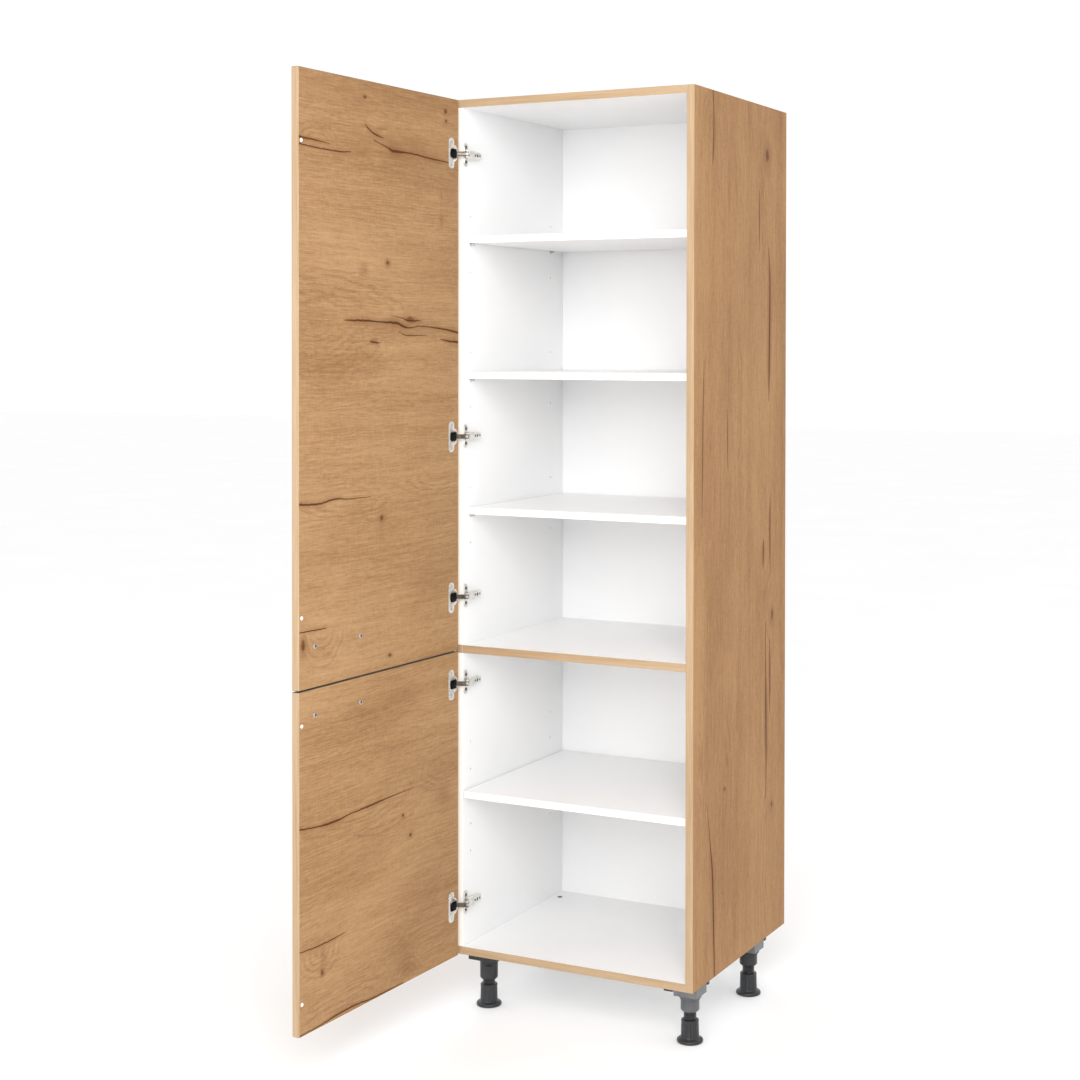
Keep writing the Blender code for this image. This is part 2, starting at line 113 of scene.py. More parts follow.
# ---------------------------------------------------------------- node trees written as arithmetic
class Signal:
    """A number coming out of a node. Arithmetic on it adds Math nodes."""

    def __init__(self, tree, socket):
        self.tree = tree
        self.socket = socket

    def maths(self, operation, *others):
        node = self.tree.nodes.new("ShaderNodeMath")
        node.operation = operation
        plug(self.tree, self, node.inputs[0])
        for index, other in enumerate(others, 1):
            plug(self.tree, other, node.inputs[index])
        return Signal(self.tree, node.outputs[0])

    def __add__(self, other):
        return self.maths("ADD", other)

    def __sub__(self, other):
        return self.maths("SUBTRACT", other)

    def __mul__(self, other):
        return self.maths("MULTIPLY", other)

    def __truediv__(self, other):
        return self.maths("DIVIDE", other)

    __radd__ = __add__
    __rmul__ = __mul__

    def ramp(self, low, high, to_low=0.0, to_high=1.0):
        """Smooth step from low to high. low may be the larger one."""
        node = self.tree.nodes.new("ShaderNodeMapRange")
        node.interpolation_type = "SMOOTHSTEP"
        plug(self.tree, self, node.inputs[0])
        for index, value in enumerate((low, high, to_low, to_high), 1):
            plug(self.tree, value, node.inputs[index])
        return Signal(self.tree, node.outputs[0])

    def curve(self, points):
        """Value read from a curve through (input, output) points, both from 0 to 1."""
        node = self.tree.nodes.new("ShaderNodeFloatCurve")
        line = node.mapping.curves[0]
        for position in points[1:-1]:
            line.points.new(*position)
        for point, position in zip((line.points[0], line.points[-1]), (points[0], points[-1])):
            point.location = position
        for point in line.points:
            point.handle_type = "AUTO_CLAMPED"
        node.mapping.update()
        plug(self.tree, self, node.inputs["Value"])
        return Signal(self.tree, node.outputs[0])


def plug(tree, source, target):
    """Link a signal or socket to an input, or set a plain value there."""
    if isinstance(source, Signal):
        tree.links.new(source.socket, target)
    elif isinstance(source, bpy.types.NodeSocket):
        tree.links.new(source, target)
    else:
        target.default_value = source


def new_material(name, roughness, metallic=0.0, specular=0.5):
    """Material with one Principled shader. Returns it with its tree and shader."""
    material = bpy.data.materials.new(name)
    material.use_nodes = True
    tree = material.node_tree
    shader = tree.nodes["Principled BSDF"]
    shader.inputs["Roughness"].default_value = roughness
    shader.inputs["Metallic"].default_value = metallic
    shader.inputs["Specular IOR Level"].default_value = specular
    return material, tree, shader


def local_axes(tree, place):
    """Coordinates of the shaded point in a placed frame, as three signals."""
    coordinates = tree.nodes.new("ShaderNodeTexCoord")
    mapping = tree.nodes.new("ShaderNodeMapping")
    mapping.vector_type = "TEXTURE"
    mapping.inputs["Location"].default_value = place.to_translation()
    mapping.inputs["Rotation"].default_value = place.to_euler()
    tree.links.new(coordinates.outputs["Object"], mapping.inputs["Vector"])
    split = tree.nodes.new("ShaderNodeSeparateXYZ")
    tree.links.new(mapping.outputs[0], split.inputs[0])
    return [Signal(tree, output) for output in split.outputs]


def noise(x, y, z, detail=2.0, roughness=0.5):
    """Noise at a point given by three signals or numbers, about 0.5."""
    tree = x.tree
    join = tree.nodes.new("ShaderNodeCombineXYZ")
    for value, target in zip((x, y, z), join.inputs):
        plug(tree, value, target)
    node = tree.nodes.new("ShaderNodeTexNoise")
    node.inputs["Scale"].default_value = 1.0
    node.inputs["Detail"].default_value = detail
    node.inputs["Roughness"].default_value = roughness
    tree.links.new(join.outputs[0], node.inputs["Vector"])
    return Signal(tree, node.outputs["Fac"])


def colour_ramp(signal, stops):
    node = signal.tree.nodes.new("ShaderNodeValToRGB")
    ramp = node.color_ramp
    while len(ramp.elements) < len(stops):
        ramp.elements.new(0.5)
    for element, (position, colour) in zip(ramp.elements, stops):
        element.position = position
        element.color = (*colour, 1.0)
    plug(signal.tree, signal, node.inputs["Fac"])
    return node.outputs["Color"]


def blend_colour(tree, share, base, over):
    """Mix of two colours, each a socket or three numbers."""
    node = tree.nodes.new("ShaderNodeMix")
    node.data_type = "RGBA"
    for value, target in ((share, node.inputs[0]), (base, node.inputs[6]), (over, node.inputs[7])):
        if isinstance(value, tuple):
            target.default_value = (*value, 1.0)
        else:
            plug(tree, value, target)
    return node.outputs[2]


def add_bump(tree, shader, height, distance):
    """Relief from a height signal from 0 to 1 that stands for that distance."""
    node = tree.nodes.new("ShaderNodeBump")
    node.inputs["Distance"].default_value = distance
    plug(tree, height, node.inputs["Height"])
    tree.links.new(node.outputs[0], shader.inputs["Normal"])


# ---------------------------------------------------------------- wood
OAK_TONES = [(0.18, (0.232, 0.117, 0.047)), (0.42, (0.356, 0.197, 0.087)),
             (0.58, (0.432, 0.252, 0.117)), (0.84, (0.520, 0.330, 0.170))]
CRACK_COLOUR = (0.088, 0.027, 0.006)
KNOT_COLOUR = (0.115, 0.042, 0.013)
STAIN_COLOUR = (0.240, 0.110, 0.042)
LINE_COLOUR = (0.215, 0.098, 0.037)


def strongest(signals):
    """Largest of several signals."""
    top = signals[0]
    for signal in signals[1:]:
        top = top.maths("MAXIMUM", signal)
    return top


def oval_distance(along, across, oval):
    """Distance from an oval's centre, 1 on its rim."""
    x = (along - oval[0]) / oval[2]
    y = (across - oval[1]) / oval[3]
    return (x * x + y * y).maths("SQRT"), y


def crack_mask(along, across, jag, path):
    """Masks of one crack: the line itself and the stain beside it.

    path holds (along, across, half width in millimetres) points in order of growing along.
    """
    start = path[0][0]
    length = path[-1][0] - start
    low = min(point[1] for point in path) - 0.002
    reach = max(point[1] for point in path) + 0.002 - low
    thick = max(point[2] for point in path)
    share = (along - start) / length
    centre = share.curve([((s - start) / length, (t - low) / reach) for s, t, _ in path]) * reach + low
    width = share.curve([((s - start) / length, w / thick) for s, _, w in path]) * (thick * 0.00130)
    inside = share.ramp(-0.002, 0.002) * share.ramp(1.002, 0.998)
    away = (across - centre + jag).maths("ABSOLUTE") / (width + 0.00005)
    line = away.ramp(1.35, 0.45) * inside
    stain = away.ramp(6.5, 0.5) * inside * width * 420.0
    return line, stain


def oak_flow(along, across, knots, seed):
    """Coordinate across the grain after its waves and its way round the knots, and the knots' masks."""
    drift = noise(along * 1.6, across * 3.4, seed, 2.0) - 0.5
    ripple = noise(along * 11.0, across * 26.0, seed + 0.7, 2.0) - 0.5
    wobble = (noise(along * 70.0, across * 130.0, seed + 3.1, 2.0) - 0.5) * 0.9
    flow = across + drift * 0.030 + ripple * 0.0040
    hearts = []
    halos = []
    for knot in knots:
        distance, rise = oval_distance(along, across, knot)
        flow = flow - distance.ramp(5.5, 0.0) * rise * (knot[3] * 0.75)
        hearts.append((distance + wobble).ramp(1.35, 0.55))
        halos.append((distance + wobble).ramp(3.6, 0.8))
    return flow, hearts, halos


def oak_lines(along, across, flow, figures, seed):
    """Growth lines: faint parallel ones in patches, and nested arcs inside each figure."""
    phase = noise(along * 2.6, flow * 14.0, seed + 4.4, 3.0) * 3.4
    wave = (flow * 980.0 + phase * 6.0).maths("SINE") * 0.5 + 0.5
    patch = noise(along * 1.5, across * 6.5, seed + 6.6, 2.0).ramp(0.50, 0.66)
    lines = wave.maths("POWER", 2.5) * patch * 0.55
    sway = (noise(along * 16.0, across * 34.0, seed + 7.2, 2.0) - 0.5) * 0.34
    for figure in figures:
        distance, rise = oval_distance(along, across, figure)
        reach = distance + sway
        turns = (reach * (figure[4] * 2.0 * math.pi)).maths("SINE") * 0.5 + 0.5
        kept = reach.ramp(1.15, 0.70) * (rise * figure[5]).ramp(-0.10, 0.35)
        lines = lines.maths("MAXIMUM", turns.maths("POWER", 2.0) * kept * 0.85)
    breaks = noise(along * 30.0, flow * 210.0, seed + 8.8, 3.0, 0.65).ramp(0.36, 0.60)
    return lines * (breaks * 0.75 + 0.25)


def oak(name, place, grain, looks, seed, shade=(1.0, 1.0, 1.0), light_band=None):
    """Oak decor. grain names the local axes along and across it, looks what stands out in its figure."""
    knots, figures, zones = looks["knots"], looks["figures"], looks["zones"]
    material, tree, shader = new_material(name, 0.55, specular=0.18)
    axes = local_axes(tree, place)
    along = axes["xyz".index(grain[0])]
    across = axes["xyz".index(grain[1])]
    flow, hearts, halos = oak_flow(along, across, knots, seed)

    blotch = noise(along * 2.4, flow * 5.0, seed + 7.7, 3.0, 0.55)
    band = noise(along * 0.9, flow * 24.0, seed + 1.3, 2.0)
    streak = noise(along * 7.0, flow * 150.0, seed + 2.9, 3.0, 0.62)
    fine = noise(along * 36.0, flow * 430.0, seed + 5.3, 3.0, 0.68)
    cross_ray = noise(along * 150.0, flow * 48.0, seed + 8.1, 2.0, 0.6)
    tone = (blotch - 0.5) * 0.50 + (band - 0.5) * 0.26 + (streak - 0.5) * 0.46 + (fine - 0.5) * 0.66 + 0.5
    tone = tone + (cross_ray - 0.5) * 0.20
    if light_band is not None:
        edge, reach, lift = light_band
        tone = tone + across.ramp(edge + reach, edge - reach) * lift
    # shade multiplies every tone of the oak; where it is below one it is painted shade, a darker copy
    # standing in for less light.
    colour = colour_ramp(tone, [(stop, tuple(map(operator.mul, rgb, shade))) for stop, rgb in OAK_TONES])

    mottle = noise(along * 24.0, across * 55.0, seed + 14.0, 3.0, 0.65).ramp(0.25, 0.70, 0.35, 1.0)
    soft = strongest([oval_distance(along, across, zone)[0].ramp(1.25, 0.1) * zone[4] for zone in zones])
    colour = blend_colour(tree, soft * mottle, colour, STAIN_COLOUR)
    lines = oak_lines(along, across, flow, figures, seed)
    colour = blend_colour(tree, lines * 0.55, colour, LINE_COLOUR)

    dashes = noise(along * 50.0, flow * 520.0, seed + 9.1, 2.0, 0.6).ramp(0.58, 0.70)
    pores = noise(along * 110.0, flow * 1900.0, seed + 9.9, 2.0, 0.6).ramp(0.58, 0.72)
    spread = noise(along * 4.0, flow * 40.0, seed + 10.7, 2.0).ramp(0.34, 0.62, 0.25, 1.0)
    pits = (dashes * 0.62).maths("MAXIMUM", pores * 0.8) * spread
    colour = blend_colour(tree, pits * 0.52, colour, (0.200, 0.090, 0.034))

    colour = blend_colour(tree, strongest(halos) * mottle * 0.50, colour, STAIN_COLOUR)
    colour = blend_colour(tree, strongest(hearts) * 0.86, colour, KNOT_COLOUR)
    jag = (noise(along * 75.0, 0.0, seed + 12.0, 3.0, 0.6) - 0.5) * 0.0046
    masks = [crack_mask(along, across, jag, path) for path in looks["cracks"]]
    broken = noise(along * 55.0, across * 300.0, seed + 13.0, 2.0).ramp(0.22, 0.42, 0.60, 1.0)
    split = strongest([line for line, _ in masks]) * broken
    stained = strongest([stain for _, stain in masks])
    colour = blend_colour(tree, stained * 0.50, colour, (0.230, 0.100, 0.035))
    colour = blend_colour(tree, split * 0.95, colour, CRACK_COLOUR)
    tree.links.new(colour, shader.inputs["Base Color"])

    gloss = (streak - 0.5) * 0.16 + pits * 0.14 + split * 0.25 + 0.52
    tree.links.new(gloss.socket, shader.inputs["Roughness"])
    relief = (fine * 0.30 + streak * 0.20) - (pits * 0.6 + split + strongest(hearts) * 0.3 + lines * 0.15)
    add_bump(tree, shader, relief, 0.00026)
    return material


# Places on a face are in metres, along its grain and across it. A crack is a path of (along, across, half
# width in mm). A knot is (along, across, half length, half height). A zone of darker wood adds a strength,
# and a figure adds its number of rings and the side it is drawn on: 1 above its middle, -1 below.
UPPER_LOOKS = {
    "cracks": [
        [(0.042, 1.969, 0.9), (0.125, 1.972, 1.4), (0.200, 1.976, 1.3), (0.256, 1.975, 2.6),
         (0.285, 1.981, 1.2), (0.338, 1.993, 0.4)],
        [(0.296, 1.999, 0.5), (0.334, 2.006, 1.7), (0.357, 2.016, 1.5), (0.368, 2.024, 0.5)],
        [(0.417, 1.959, 0.7), (0.468, 1.956, 1.3), (0.534, 1.957, 1.0), (0.597, 1.960, 1.2)],
        [(0.490, 1.969, 0.4), (0.540, 1.972, 1.2), (0.597, 1.974, 1.9)],
        [(0.000, 1.581, 2.0), (0.083, 1.590, 1.4), (0.165, 1.594, 0.8), (0.197, 1.590, 1.1),
         (0.250, 1.600, 2.3), (0.318, 1.602, 1.3), (0.367, 1.604, 1.9), (0.442, 1.604, 0.6)],
        [(0.152, 1.606, 0.5), (0.196, 1.606, 1.5), (0.232, 1.612, 0.7), (0.268, 1.616, 0.3)],
        [(0.000, 1.559, 2.1), (0.042, 1.561, 1.7), (0.076, 1.566, 0.5)],
        [(0.128, 1.574, 0.4), (0.200, 1.573, 0.9), (0.242, 1.582, 0.4)],
        [(0.310, 1.556, 0.3), (0.335, 1.558, 1.6), (0.352, 1.560, 0.3)],
        [(0.346, 1.226, 0.4), (0.434, 1.227, 0.8), (0.468, 1.230, 1.3), (0.534, 1.224, 1.6),
         (0.597, 1.227, 1.9)],
        [(0.504, 0.964, 0.6), (0.545, 0.965, 1.1), (0.597, 0.966, 0.9)],
    ],
    "knots": [
        (0.054, 2.084, 0.007, 0.006), (0.052, 2.062, 0.005, 0.004), (0.367, 2.080, 0.006, 0.004),
        (0.196, 1.608, 0.014, 0.007), (0.283, 1.731, 0.005, 0.004), (0.306, 1.177, 0.005, 0.006),
        (0.583, 0.938, 0.006, 0.011), (0.275, 0.875, 0.006, 0.004)
    ],
    "figures": [
        (0.535, 1.964, 0.085, 0.058, 5.0, 1), (0.310, 1.596, 0.100, 0.036, 4.0, -1),
        (0.560, 1.612, 0.330, 0.150, 10.0, -1), (0.540, 1.610, 0.420, 0.110, 7.0, 1),
        (0.080, 1.262, 0.200, 0.060, 5.0, -1), (0.430, 1.222, 0.190, 0.036, 4.0, -1),
        (0.520, 0.962, 0.085, 0.090, 5.0, -1)
    ],
    "zones": [
        (0.200, 1.984, 0.190, 0.034, 0.62), (0.375, 1.972, 0.060, 0.034, 0.50),
        (0.040, 1.905, 0.050, 0.080, 0.35), (0.071, 1.888, 0.012, 0.022, 0.62),
        (0.070, 1.838, 0.012, 0.026, 0.52), (0.220, 1.590, 0.150, 0.030, 0.50),
        (0.283, 1.729, 0.016, 0.014, 0.60), (0.371, 1.708, 0.024, 0.020, 0.60),
        (0.305, 1.177, 0.025, 0.020, 0.45), (0.583, 0.936, 0.016, 0.030, 0.60),
        (0.130, 1.010, 0.110, 0.075, 0.35), (0.080, 1.720, 0.120, 0.060, 0.25),
        (0.300, 2.105, 0.420, 0.060, 0.45)
    ],
}
LOWER_LOOKS = {
    "cracks": [
        [(0.183, 0.566, 0.4), (0.275, 0.564, 0.9), (0.350, 0.561, 1.6), (0.417, 0.559, 1.0),
         (0.492, 0.555, 2.0), (0.542, 0.558, 1.2), (0.597, 0.564, 1.6)],
        [(0.440, 0.312, 0.5), (0.517, 0.309, 1.1), (0.597, 0.312, 0.8)],
        [(0.225, 0.141, 0.8), (0.334, 0.142, 1.2), (0.430, 0.147, 1.5), (0.535, 0.142, 1.0),
         (0.597, 0.141, 0.8)],
    ],
    "knots": [
        (0.225, 0.513, 0.005, 0.004), (0.196, 0.463, 0.006, 0.004), (0.520, 0.250, 0.005, 0.006)
    ],
    "figures": [
        (0.030, 0.590, 0.200, 0.060, 5.0, -1), (0.400, 0.556, 0.220, 0.040, 4.0, -1),
        (0.530, 0.310, 0.085, 0.080, 5.0, -1), (0.210, 0.150, 0.070, 0.050, 4.0, 1),
        (0.480, 0.146, 0.260, 0.060, 5.0, 1), (0.300, 0.520, 0.150, 0.034, 3.0, -1)
    ],
    "zones": [
        (0.515, 0.279, 0.014, 0.028, 0.60), (0.060, 0.525, 0.060, 0.030, 0.45),
        (0.210, 0.176, 0.040, 0.028, 0.55), (0.150, 0.330, 0.150, 0.080, 0.35),
        (0.400, 0.440, 0.120, 0.040, 0.22), (0.300, 0.060, 0.300, 0.050, 0.30),
        (0.250, 0.780, 0.180, 0.040, 0.25)
    ],
}
RIGHT_LOOKS = {
    "cracks": [
        [(1.951, 0.102, 0.5), (2.000, 0.107, 1.5), (2.051, 0.108, 1.3), (2.118, 0.103, 1.1)],
        [(1.773, 0.386, 0.5), (1.845, 0.383, 1.2), (1.918, 0.383, 0.5)],
        [(1.418, 0.447, 0.7), (1.540, 0.449, 2.8), (1.673, 0.452, 2.4), (1.785, 0.442, 0.7)],
        [(1.173, 0.047, 0.5), (1.340, 0.050, 1.3), (1.430, 0.052, 1.1), (1.518, 0.056, 0.5)],
        [(1.273, 0.192, 0.5), (1.340, 0.191, 1.1), (1.407, 0.191, 0.5)],
        [(1.007, 0.459, 0.5), (1.118, 0.456, 2.0), (1.196, 0.458, 0.5)],
        [(1.023, 0.412, 0.5), (1.060, 0.413, 2.2), (1.096, 0.414, 0.5)],
        [(0.473, 0.431, 0.6), (0.540, 0.435, 1.3), (0.674, 0.433, 2.6), (0.785, 0.431, 1.5),
         (0.896, 0.428, 0.6)],
        [(0.673, 0.457, 0.5), (0.762, 0.458, 1.8), (0.851, 0.456, 0.6)],
        [(0.138, 0.122, 1.5), (0.274, 0.115, 2.4), (0.362, 0.110, 2.6), (0.451, 0.094, 1.2),
         (0.540, 0.076, 0.5)],
    ],
    "knots": [
        (2.004, 0.433, 0.014, 0.011), (0.907, 0.472, 0.012, 0.006), (0.549, 0.178, 0.005, 0.005),
        (0.451, 0.472, 0.007, 0.005)
    ],
    "figures": [
        (2.000, 0.433, 0.110, 0.060, 3.0, -1), (1.860, 0.395, 0.170, 0.040, 3.0, 1),
        (2.045, 0.075, 0.070, 0.040, 3.0, -1), (0.640, 0.020, 0.090, 0.040, 3.0, 1),
        (0.510, 0.020, 0.120, 0.050, 4.0, 1), (0.930, 0.470, 0.110, 0.060, 3.0, -1),
        (1.440, 0.245, 0.200, 0.040, 3.0, 1), (0.560, 0.170, 0.220, 0.060, 3.0, 1),
        (0.300, 0.450, 0.260, 0.060, 4.0, -1)
    ],
    "zones": [
        (2.000, 0.435, 0.060, 0.030, 0.50), (1.700, 0.452, 0.160, 0.030, 0.28),
        (0.640, 0.042, 0.050, 0.018, 0.50), (0.907, 0.470, 0.030, 0.014, 0.55),
        (0.955, 0.417, 0.024, 0.010, 0.45), (0.450, 0.470, 0.030, 0.014, 0.40),
        (0.900, 0.150, 0.300, 0.050, 0.20), (2.090, 0.480, 0.080, 0.080, 0.35)
    ],
}
LEFT_LOOKS = {
    "cracks": [
        [(0.300, 0.160, 0.4), (0.420, 0.164, 1.5), (0.560, 0.158, 0.5)],
        [(0.930, 0.420, 0.5), (1.080, 0.428, 2.0), (1.230, 0.424, 1.4), (1.360, 0.431, 0.4)],
        [(1.620, 0.235, 0.4), (1.730, 0.229, 1.6), (1.860, 0.236, 0.5)],
    ],
    "knots": [
        (0.700, 0.330, 0.012, 0.008), (1.480, 0.118, 0.009, 0.006), (1.930, 0.410, 0.010, 0.007)
    ],
    "figures": [
        (0.700, 0.318, 0.140, 0.050, 4.0, 1), (1.480, 0.130, 0.120, 0.044, 3.0, -1),
        (1.150, 0.225, 0.280, 0.060, 4.0, 1), (1.900, 0.330, 0.220, 0.060, 4.0, -1)
    ],
    "zones": [
        (1.100, 0.425, 0.200, 0.030, 0.40), (1.740, 0.232, 0.140, 0.030, 0.35),
        (0.700, 0.330, 0.040, 0.025, 0.50)
    ],
}
OUTER_LOOKS = {
    "cracks": [
        [(0.050, 1.806, 0.5), (0.160, 1.812, 1.7), (0.280, 1.806, 1.2), (0.390, 1.812, 0.5)],
        [(0.320, 1.402, 0.4), (0.420, 1.396, 1.5), (0.520, 1.402, 2.0), (0.597, 1.399, 1.5)],
        [(0.000, 1.126, 1.6), (0.110, 1.120, 1.0), (0.230, 1.128, 0.4)],
        [(0.000, 0.604, 1.3), (0.130, 0.610, 1.8), (0.260, 0.603, 1.0), (0.380, 0.608, 0.4)],
        [(0.330, 0.322, 0.4), (0.440, 0.327, 1.5), (0.597, 0.322, 1.2)],
    ],
    "knots": [
        (0.420, 1.950, 0.009, 0.007), (0.150, 1.640, 0.011, 0.008), (0.480, 1.205, 0.009, 0.006),
        (0.120, 0.420, 0.010, 0.008), (0.470, 0.520, 0.007, 0.005)
    ],
    "figures": [
        (0.430, 1.925, 0.140, 0.060, 5.0, 1), (0.150, 1.655, 0.160, 0.060, 4.0, -1),
        (0.460, 1.392, 0.200, 0.060, 5.0, -1), (0.200, 1.130, 0.180, 0.050, 4.0, 1),
        (0.200, 0.600, 0.210, 0.060, 5.0, -1), (0.430, 0.326, 0.180, 0.050, 4.0, 1)
    ],
    "zones": [
        (0.200, 1.810, 0.200, 0.034, 0.50), (0.480, 1.400, 0.140, 0.030, 0.45),
        (0.100, 1.124, 0.130, 0.030, 0.40), (0.150, 0.606, 0.160, 0.030, 0.45),
        (0.300, 0.900, 0.200, 0.080, 0.20)
    ],
}


def edge_band(name, place, grain, seed, shade=1.0):
    """Light oak edge strip with straight fine grain."""
    material, tree, shader = new_material(name, 0.48, specular=0.35)
    axes = local_axes(tree, place)
    along = axes["xyz".index(grain[0])]
    across = axes["xyz".index(grain[1])]
    broad = noise(along * 2.3, across * 60.0, seed, 2.0)
    streak = noise(along * 9.0, across * 420.0, seed + 2.0, 4.0, 0.6)
    pores = noise(along * 120.0, across * 2600.0, seed + 5.0, 2.0).ramp(0.60, 0.72)
    tone = (broad - 0.5) * 0.6 + (streak - 0.5) * 0.7 + 0.5
    stops = [(0.25, (0.35, 0.225, 0.118)), (0.5, (0.435, 0.302, 0.178)), (0.75, (0.515, 0.378, 0.245))]
    colour = colour_ramp(tone, [(stop, tuple(channel * shade for channel in rgb)) for stop, rgb in stops])
    colour = blend_colour(tree, pores * 0.35, colour, (0.30, 0.16, 0.07))
    tree.links.new(colour, shader.inputs["Base Color"])
    add_bump(tree, shader, streak * 0.5 - pores, 0.00012)
    return material


def hidden_strip():
    """Front edge of the left side: white foil between the boards, oak across their ends."""
    material = edge_band("strip_behind_doors", CABINET, "zx", 3.0)
    tree = material.node_tree
    shader = tree.nodes["Principled BSDF"]
    height = local_axes(tree, CABINET)[2]
    between = height.ramp(CARCASS_LOW + BOARD, CARCASS_LOW + BOARD + 0.001)
    between = between * height.ramp(CARCASS_TOP - BOARD, CARCASS_TOP - BOARD - 0.001)
    board = height.ramp(MIDDLE_LOW - 0.001, MIDDLE_LOW) * height.ramp(MIDDLE_HIGH + 0.001, MIDDLE_HIGH)
    oak_colour = shader.inputs["Base Color"].links[0].from_socket
    foil = colour_ramp(noise(height * 6.0, 0.0, 4.0), [(0.3, (0.86, 0.82, 0.76)), (0.7, (0.91, 0.88, 0.83))])
    mixed = blend_colour(tree, between * (board * -1.0 + 1.0), oak_colour, foil)
    tree.links.new(mixed, shader.inputs["Base Color"])
    return material


# ---------------------------------------------------------------- other materials
def white_melamine():
    """White board face with the faint orange peel of a pressed foil."""
    material, tree, shader = new_material("white_melamine", 0.38, specular=0.4)
    x, y, z = local_axes(tree, CABINET)
    cloud = noise(x * 5.0, y * 5.0, z * 5.0, 2.0)
    peel = noise(x * 900.0, y * 900.0, z * 900.0, 2.0, 0.6)
    colour = colour_ramp(cloud, [(0.35, (0.925, 0.927, 0.930)), (0.65, (0.945, 0.946, 0.948))])
    tree.links.new(colour, shader.inputs["Base Color"])
    tree.links.new(((peel - 0.5) * 0.14 + 0.38).socket, shader.inputs["Roughness"])
    add_bump(tree, shader, peel, 0.00004)
    return material


def chipboard():
    """Raw particle board where an edge has no strip."""
    material, tree, shader = new_material("raw_particle_board", 0.85, specular=0.2)
    x, y, z = local_axes(tree, CABINET)
    cells = tree.nodes.new("ShaderNodeTexVoronoi")
    cells.inputs["Scale"].default_value = 620.0
    coordinates = tree.nodes.new("ShaderNodeTexCoord")
    tree.links.new(coordinates.outputs["Object"], cells.inputs["Vector"])
    split = tree.nodes.new("ShaderNodeSeparateColor")
    tree.links.new(cells.outputs["Color"], split.inputs[0])
    chip = Signal(tree, split.outputs[0])
    dust = noise(x * 1500.0, y * 1500.0, z * 1500.0, 3.0, 0.7)
    tone = chip * 0.6 + dust * 0.4
    colour = colour_ramp(tone, [(0.2, (0.30, 0.19, 0.095)), (0.5, (0.47, 0.33, 0.18)),
                                (0.85, (0.62, 0.47, 0.29))])
    tree.links.new(colour, shader.inputs["Base Color"])
    add_bump(tree, shader, tone, 0.0004)
    return material


def hardboard():
    """Brown rear face of the back board."""
    material, tree, shader = new_material("brown_hardboard", 0.7, specular=0.25)
    x, y, z = local_axes(tree, CABINET)
    cloud = noise(x * 7.0, y, z * 7.0, 3.0, 0.6)
    fibre = noise(x * 420.0, y, z * 700.0, 4.0, 0.7)
    tone = (cloud - 0.5) * 0.5 + (fibre - 0.5) * 0.7 + 0.5
    colour = colour_ramp(tone, [(0.25, (0.235, 0.135, 0.070)), (0.5, (0.315, 0.190, 0.103)),
                                (0.75, (0.390, 0.250, 0.145))])
    tree.links.new(colour, shader.inputs["Base Color"])
    add_bump(tree, shader, fibre, 0.0001)
    return material


def metal(name, colour, roughness, mark=0.25):
    """Metal with fine drawn lines and cloudy dull patches."""
    material, tree, shader = new_material(name, roughness, metallic=1.0)
    x, y, z = local_axes(tree, CABINET)
    lines = noise(x * 40.0, y * 40.0, z * 1400.0, 3.0, 0.6)
    cloud = noise(x * 120.0, y * 120.0, z * 120.0, 3.0, 0.55)
    dull = tuple(channel * (1.0 - mark) for channel in colour)
    shade = colour_ramp(cloud * 0.6 + lines * 0.4, [(0.32, dull), (0.62, colour)])
    tree.links.new(shade, shader.inputs["Base Color"])
    gloss = (cloud - 0.5) * 0.30 + (lines - 0.5) * 0.12 + roughness
    tree.links.new(gloss.socket, shader.inputs["Roughness"])
    add_bump(tree, shader, lines, 0.00004)
    return material


def plastic(name, colour, roughness):
    """Moulded plastic with a fine eroded grain and faint flow marks."""
    material, tree, shader = new_material(name, roughness, specular=0.45)
    x, y, z = local_axes(tree, CABINET)
    grain = noise(x * 1300.0, y * 1300.0, z * 1300.0, 2.0, 0.6)
    flow = noise(x * 45.0, y * 45.0, z * 22.0, 2.0)
    worn = tuple(channel * 1.35 + 0.004 for channel in colour)
    shade = colour_ramp(flow * 0.7 + grain * 0.3, [(0.35, colour), (0.68, worn)])
    tree.links.new(shade, shader.inputs["Base Color"])
    gloss = (grain - 0.5) * 0.20 + (flow - 0.5) * 0.16 + roughness
    tree.links.new(gloss.socket, shader.inputs["Roughness"])
    add_bump(tree, shader, grain, 0.00005)
    return material


# ---------------------------------------------------------------- mesh helpers
def make_piece(name, builder, materials, body, place, smooth=40, faces=None, node=None):
    """Finished mesh as a piece that rides on a body, in the materials it is given.

    faces picks a material index for each face, and node is the CAD node that the piece stands for.
    """
    bmesh.ops.remove_doubles(builder, verts=builder.verts, dist=1e-7)
    bmesh.ops.recalc_face_normals(builder, faces=builder.faces)
    builder.transform(place)
    mesh = bpy.data.meshes.new(name)
    builder.to_mesh(mesh)
    builder.free()
    for material in materials if isinstance(materials, list) else [materials]:
        mesh.materials.append(material)
    mesh.shade_smooth()
    mesh.set_sharp_from_angle(angle=math.radians(smooth))
    if faces is not None:
        for polygon in mesh.polygons:
            polygon.material_index = faces(place.inverted() @ polygon.center)
    piece = bpy.data.objects.new(name, mesh)
    bpy.context.scene.collection.objects.link(piece)
    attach(piece, body)
    if node is not None:
        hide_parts(node)


def merge(builder, part, place):
    """Add a finished part to a mesh, at its place."""
    part.transform(place)
    mesh = bpy.data.meshes.new("part")
    part.to_mesh(mesh)
    part.free()
    builder.from_mesh(mesh)
    bpy.data.meshes.remove(mesh)


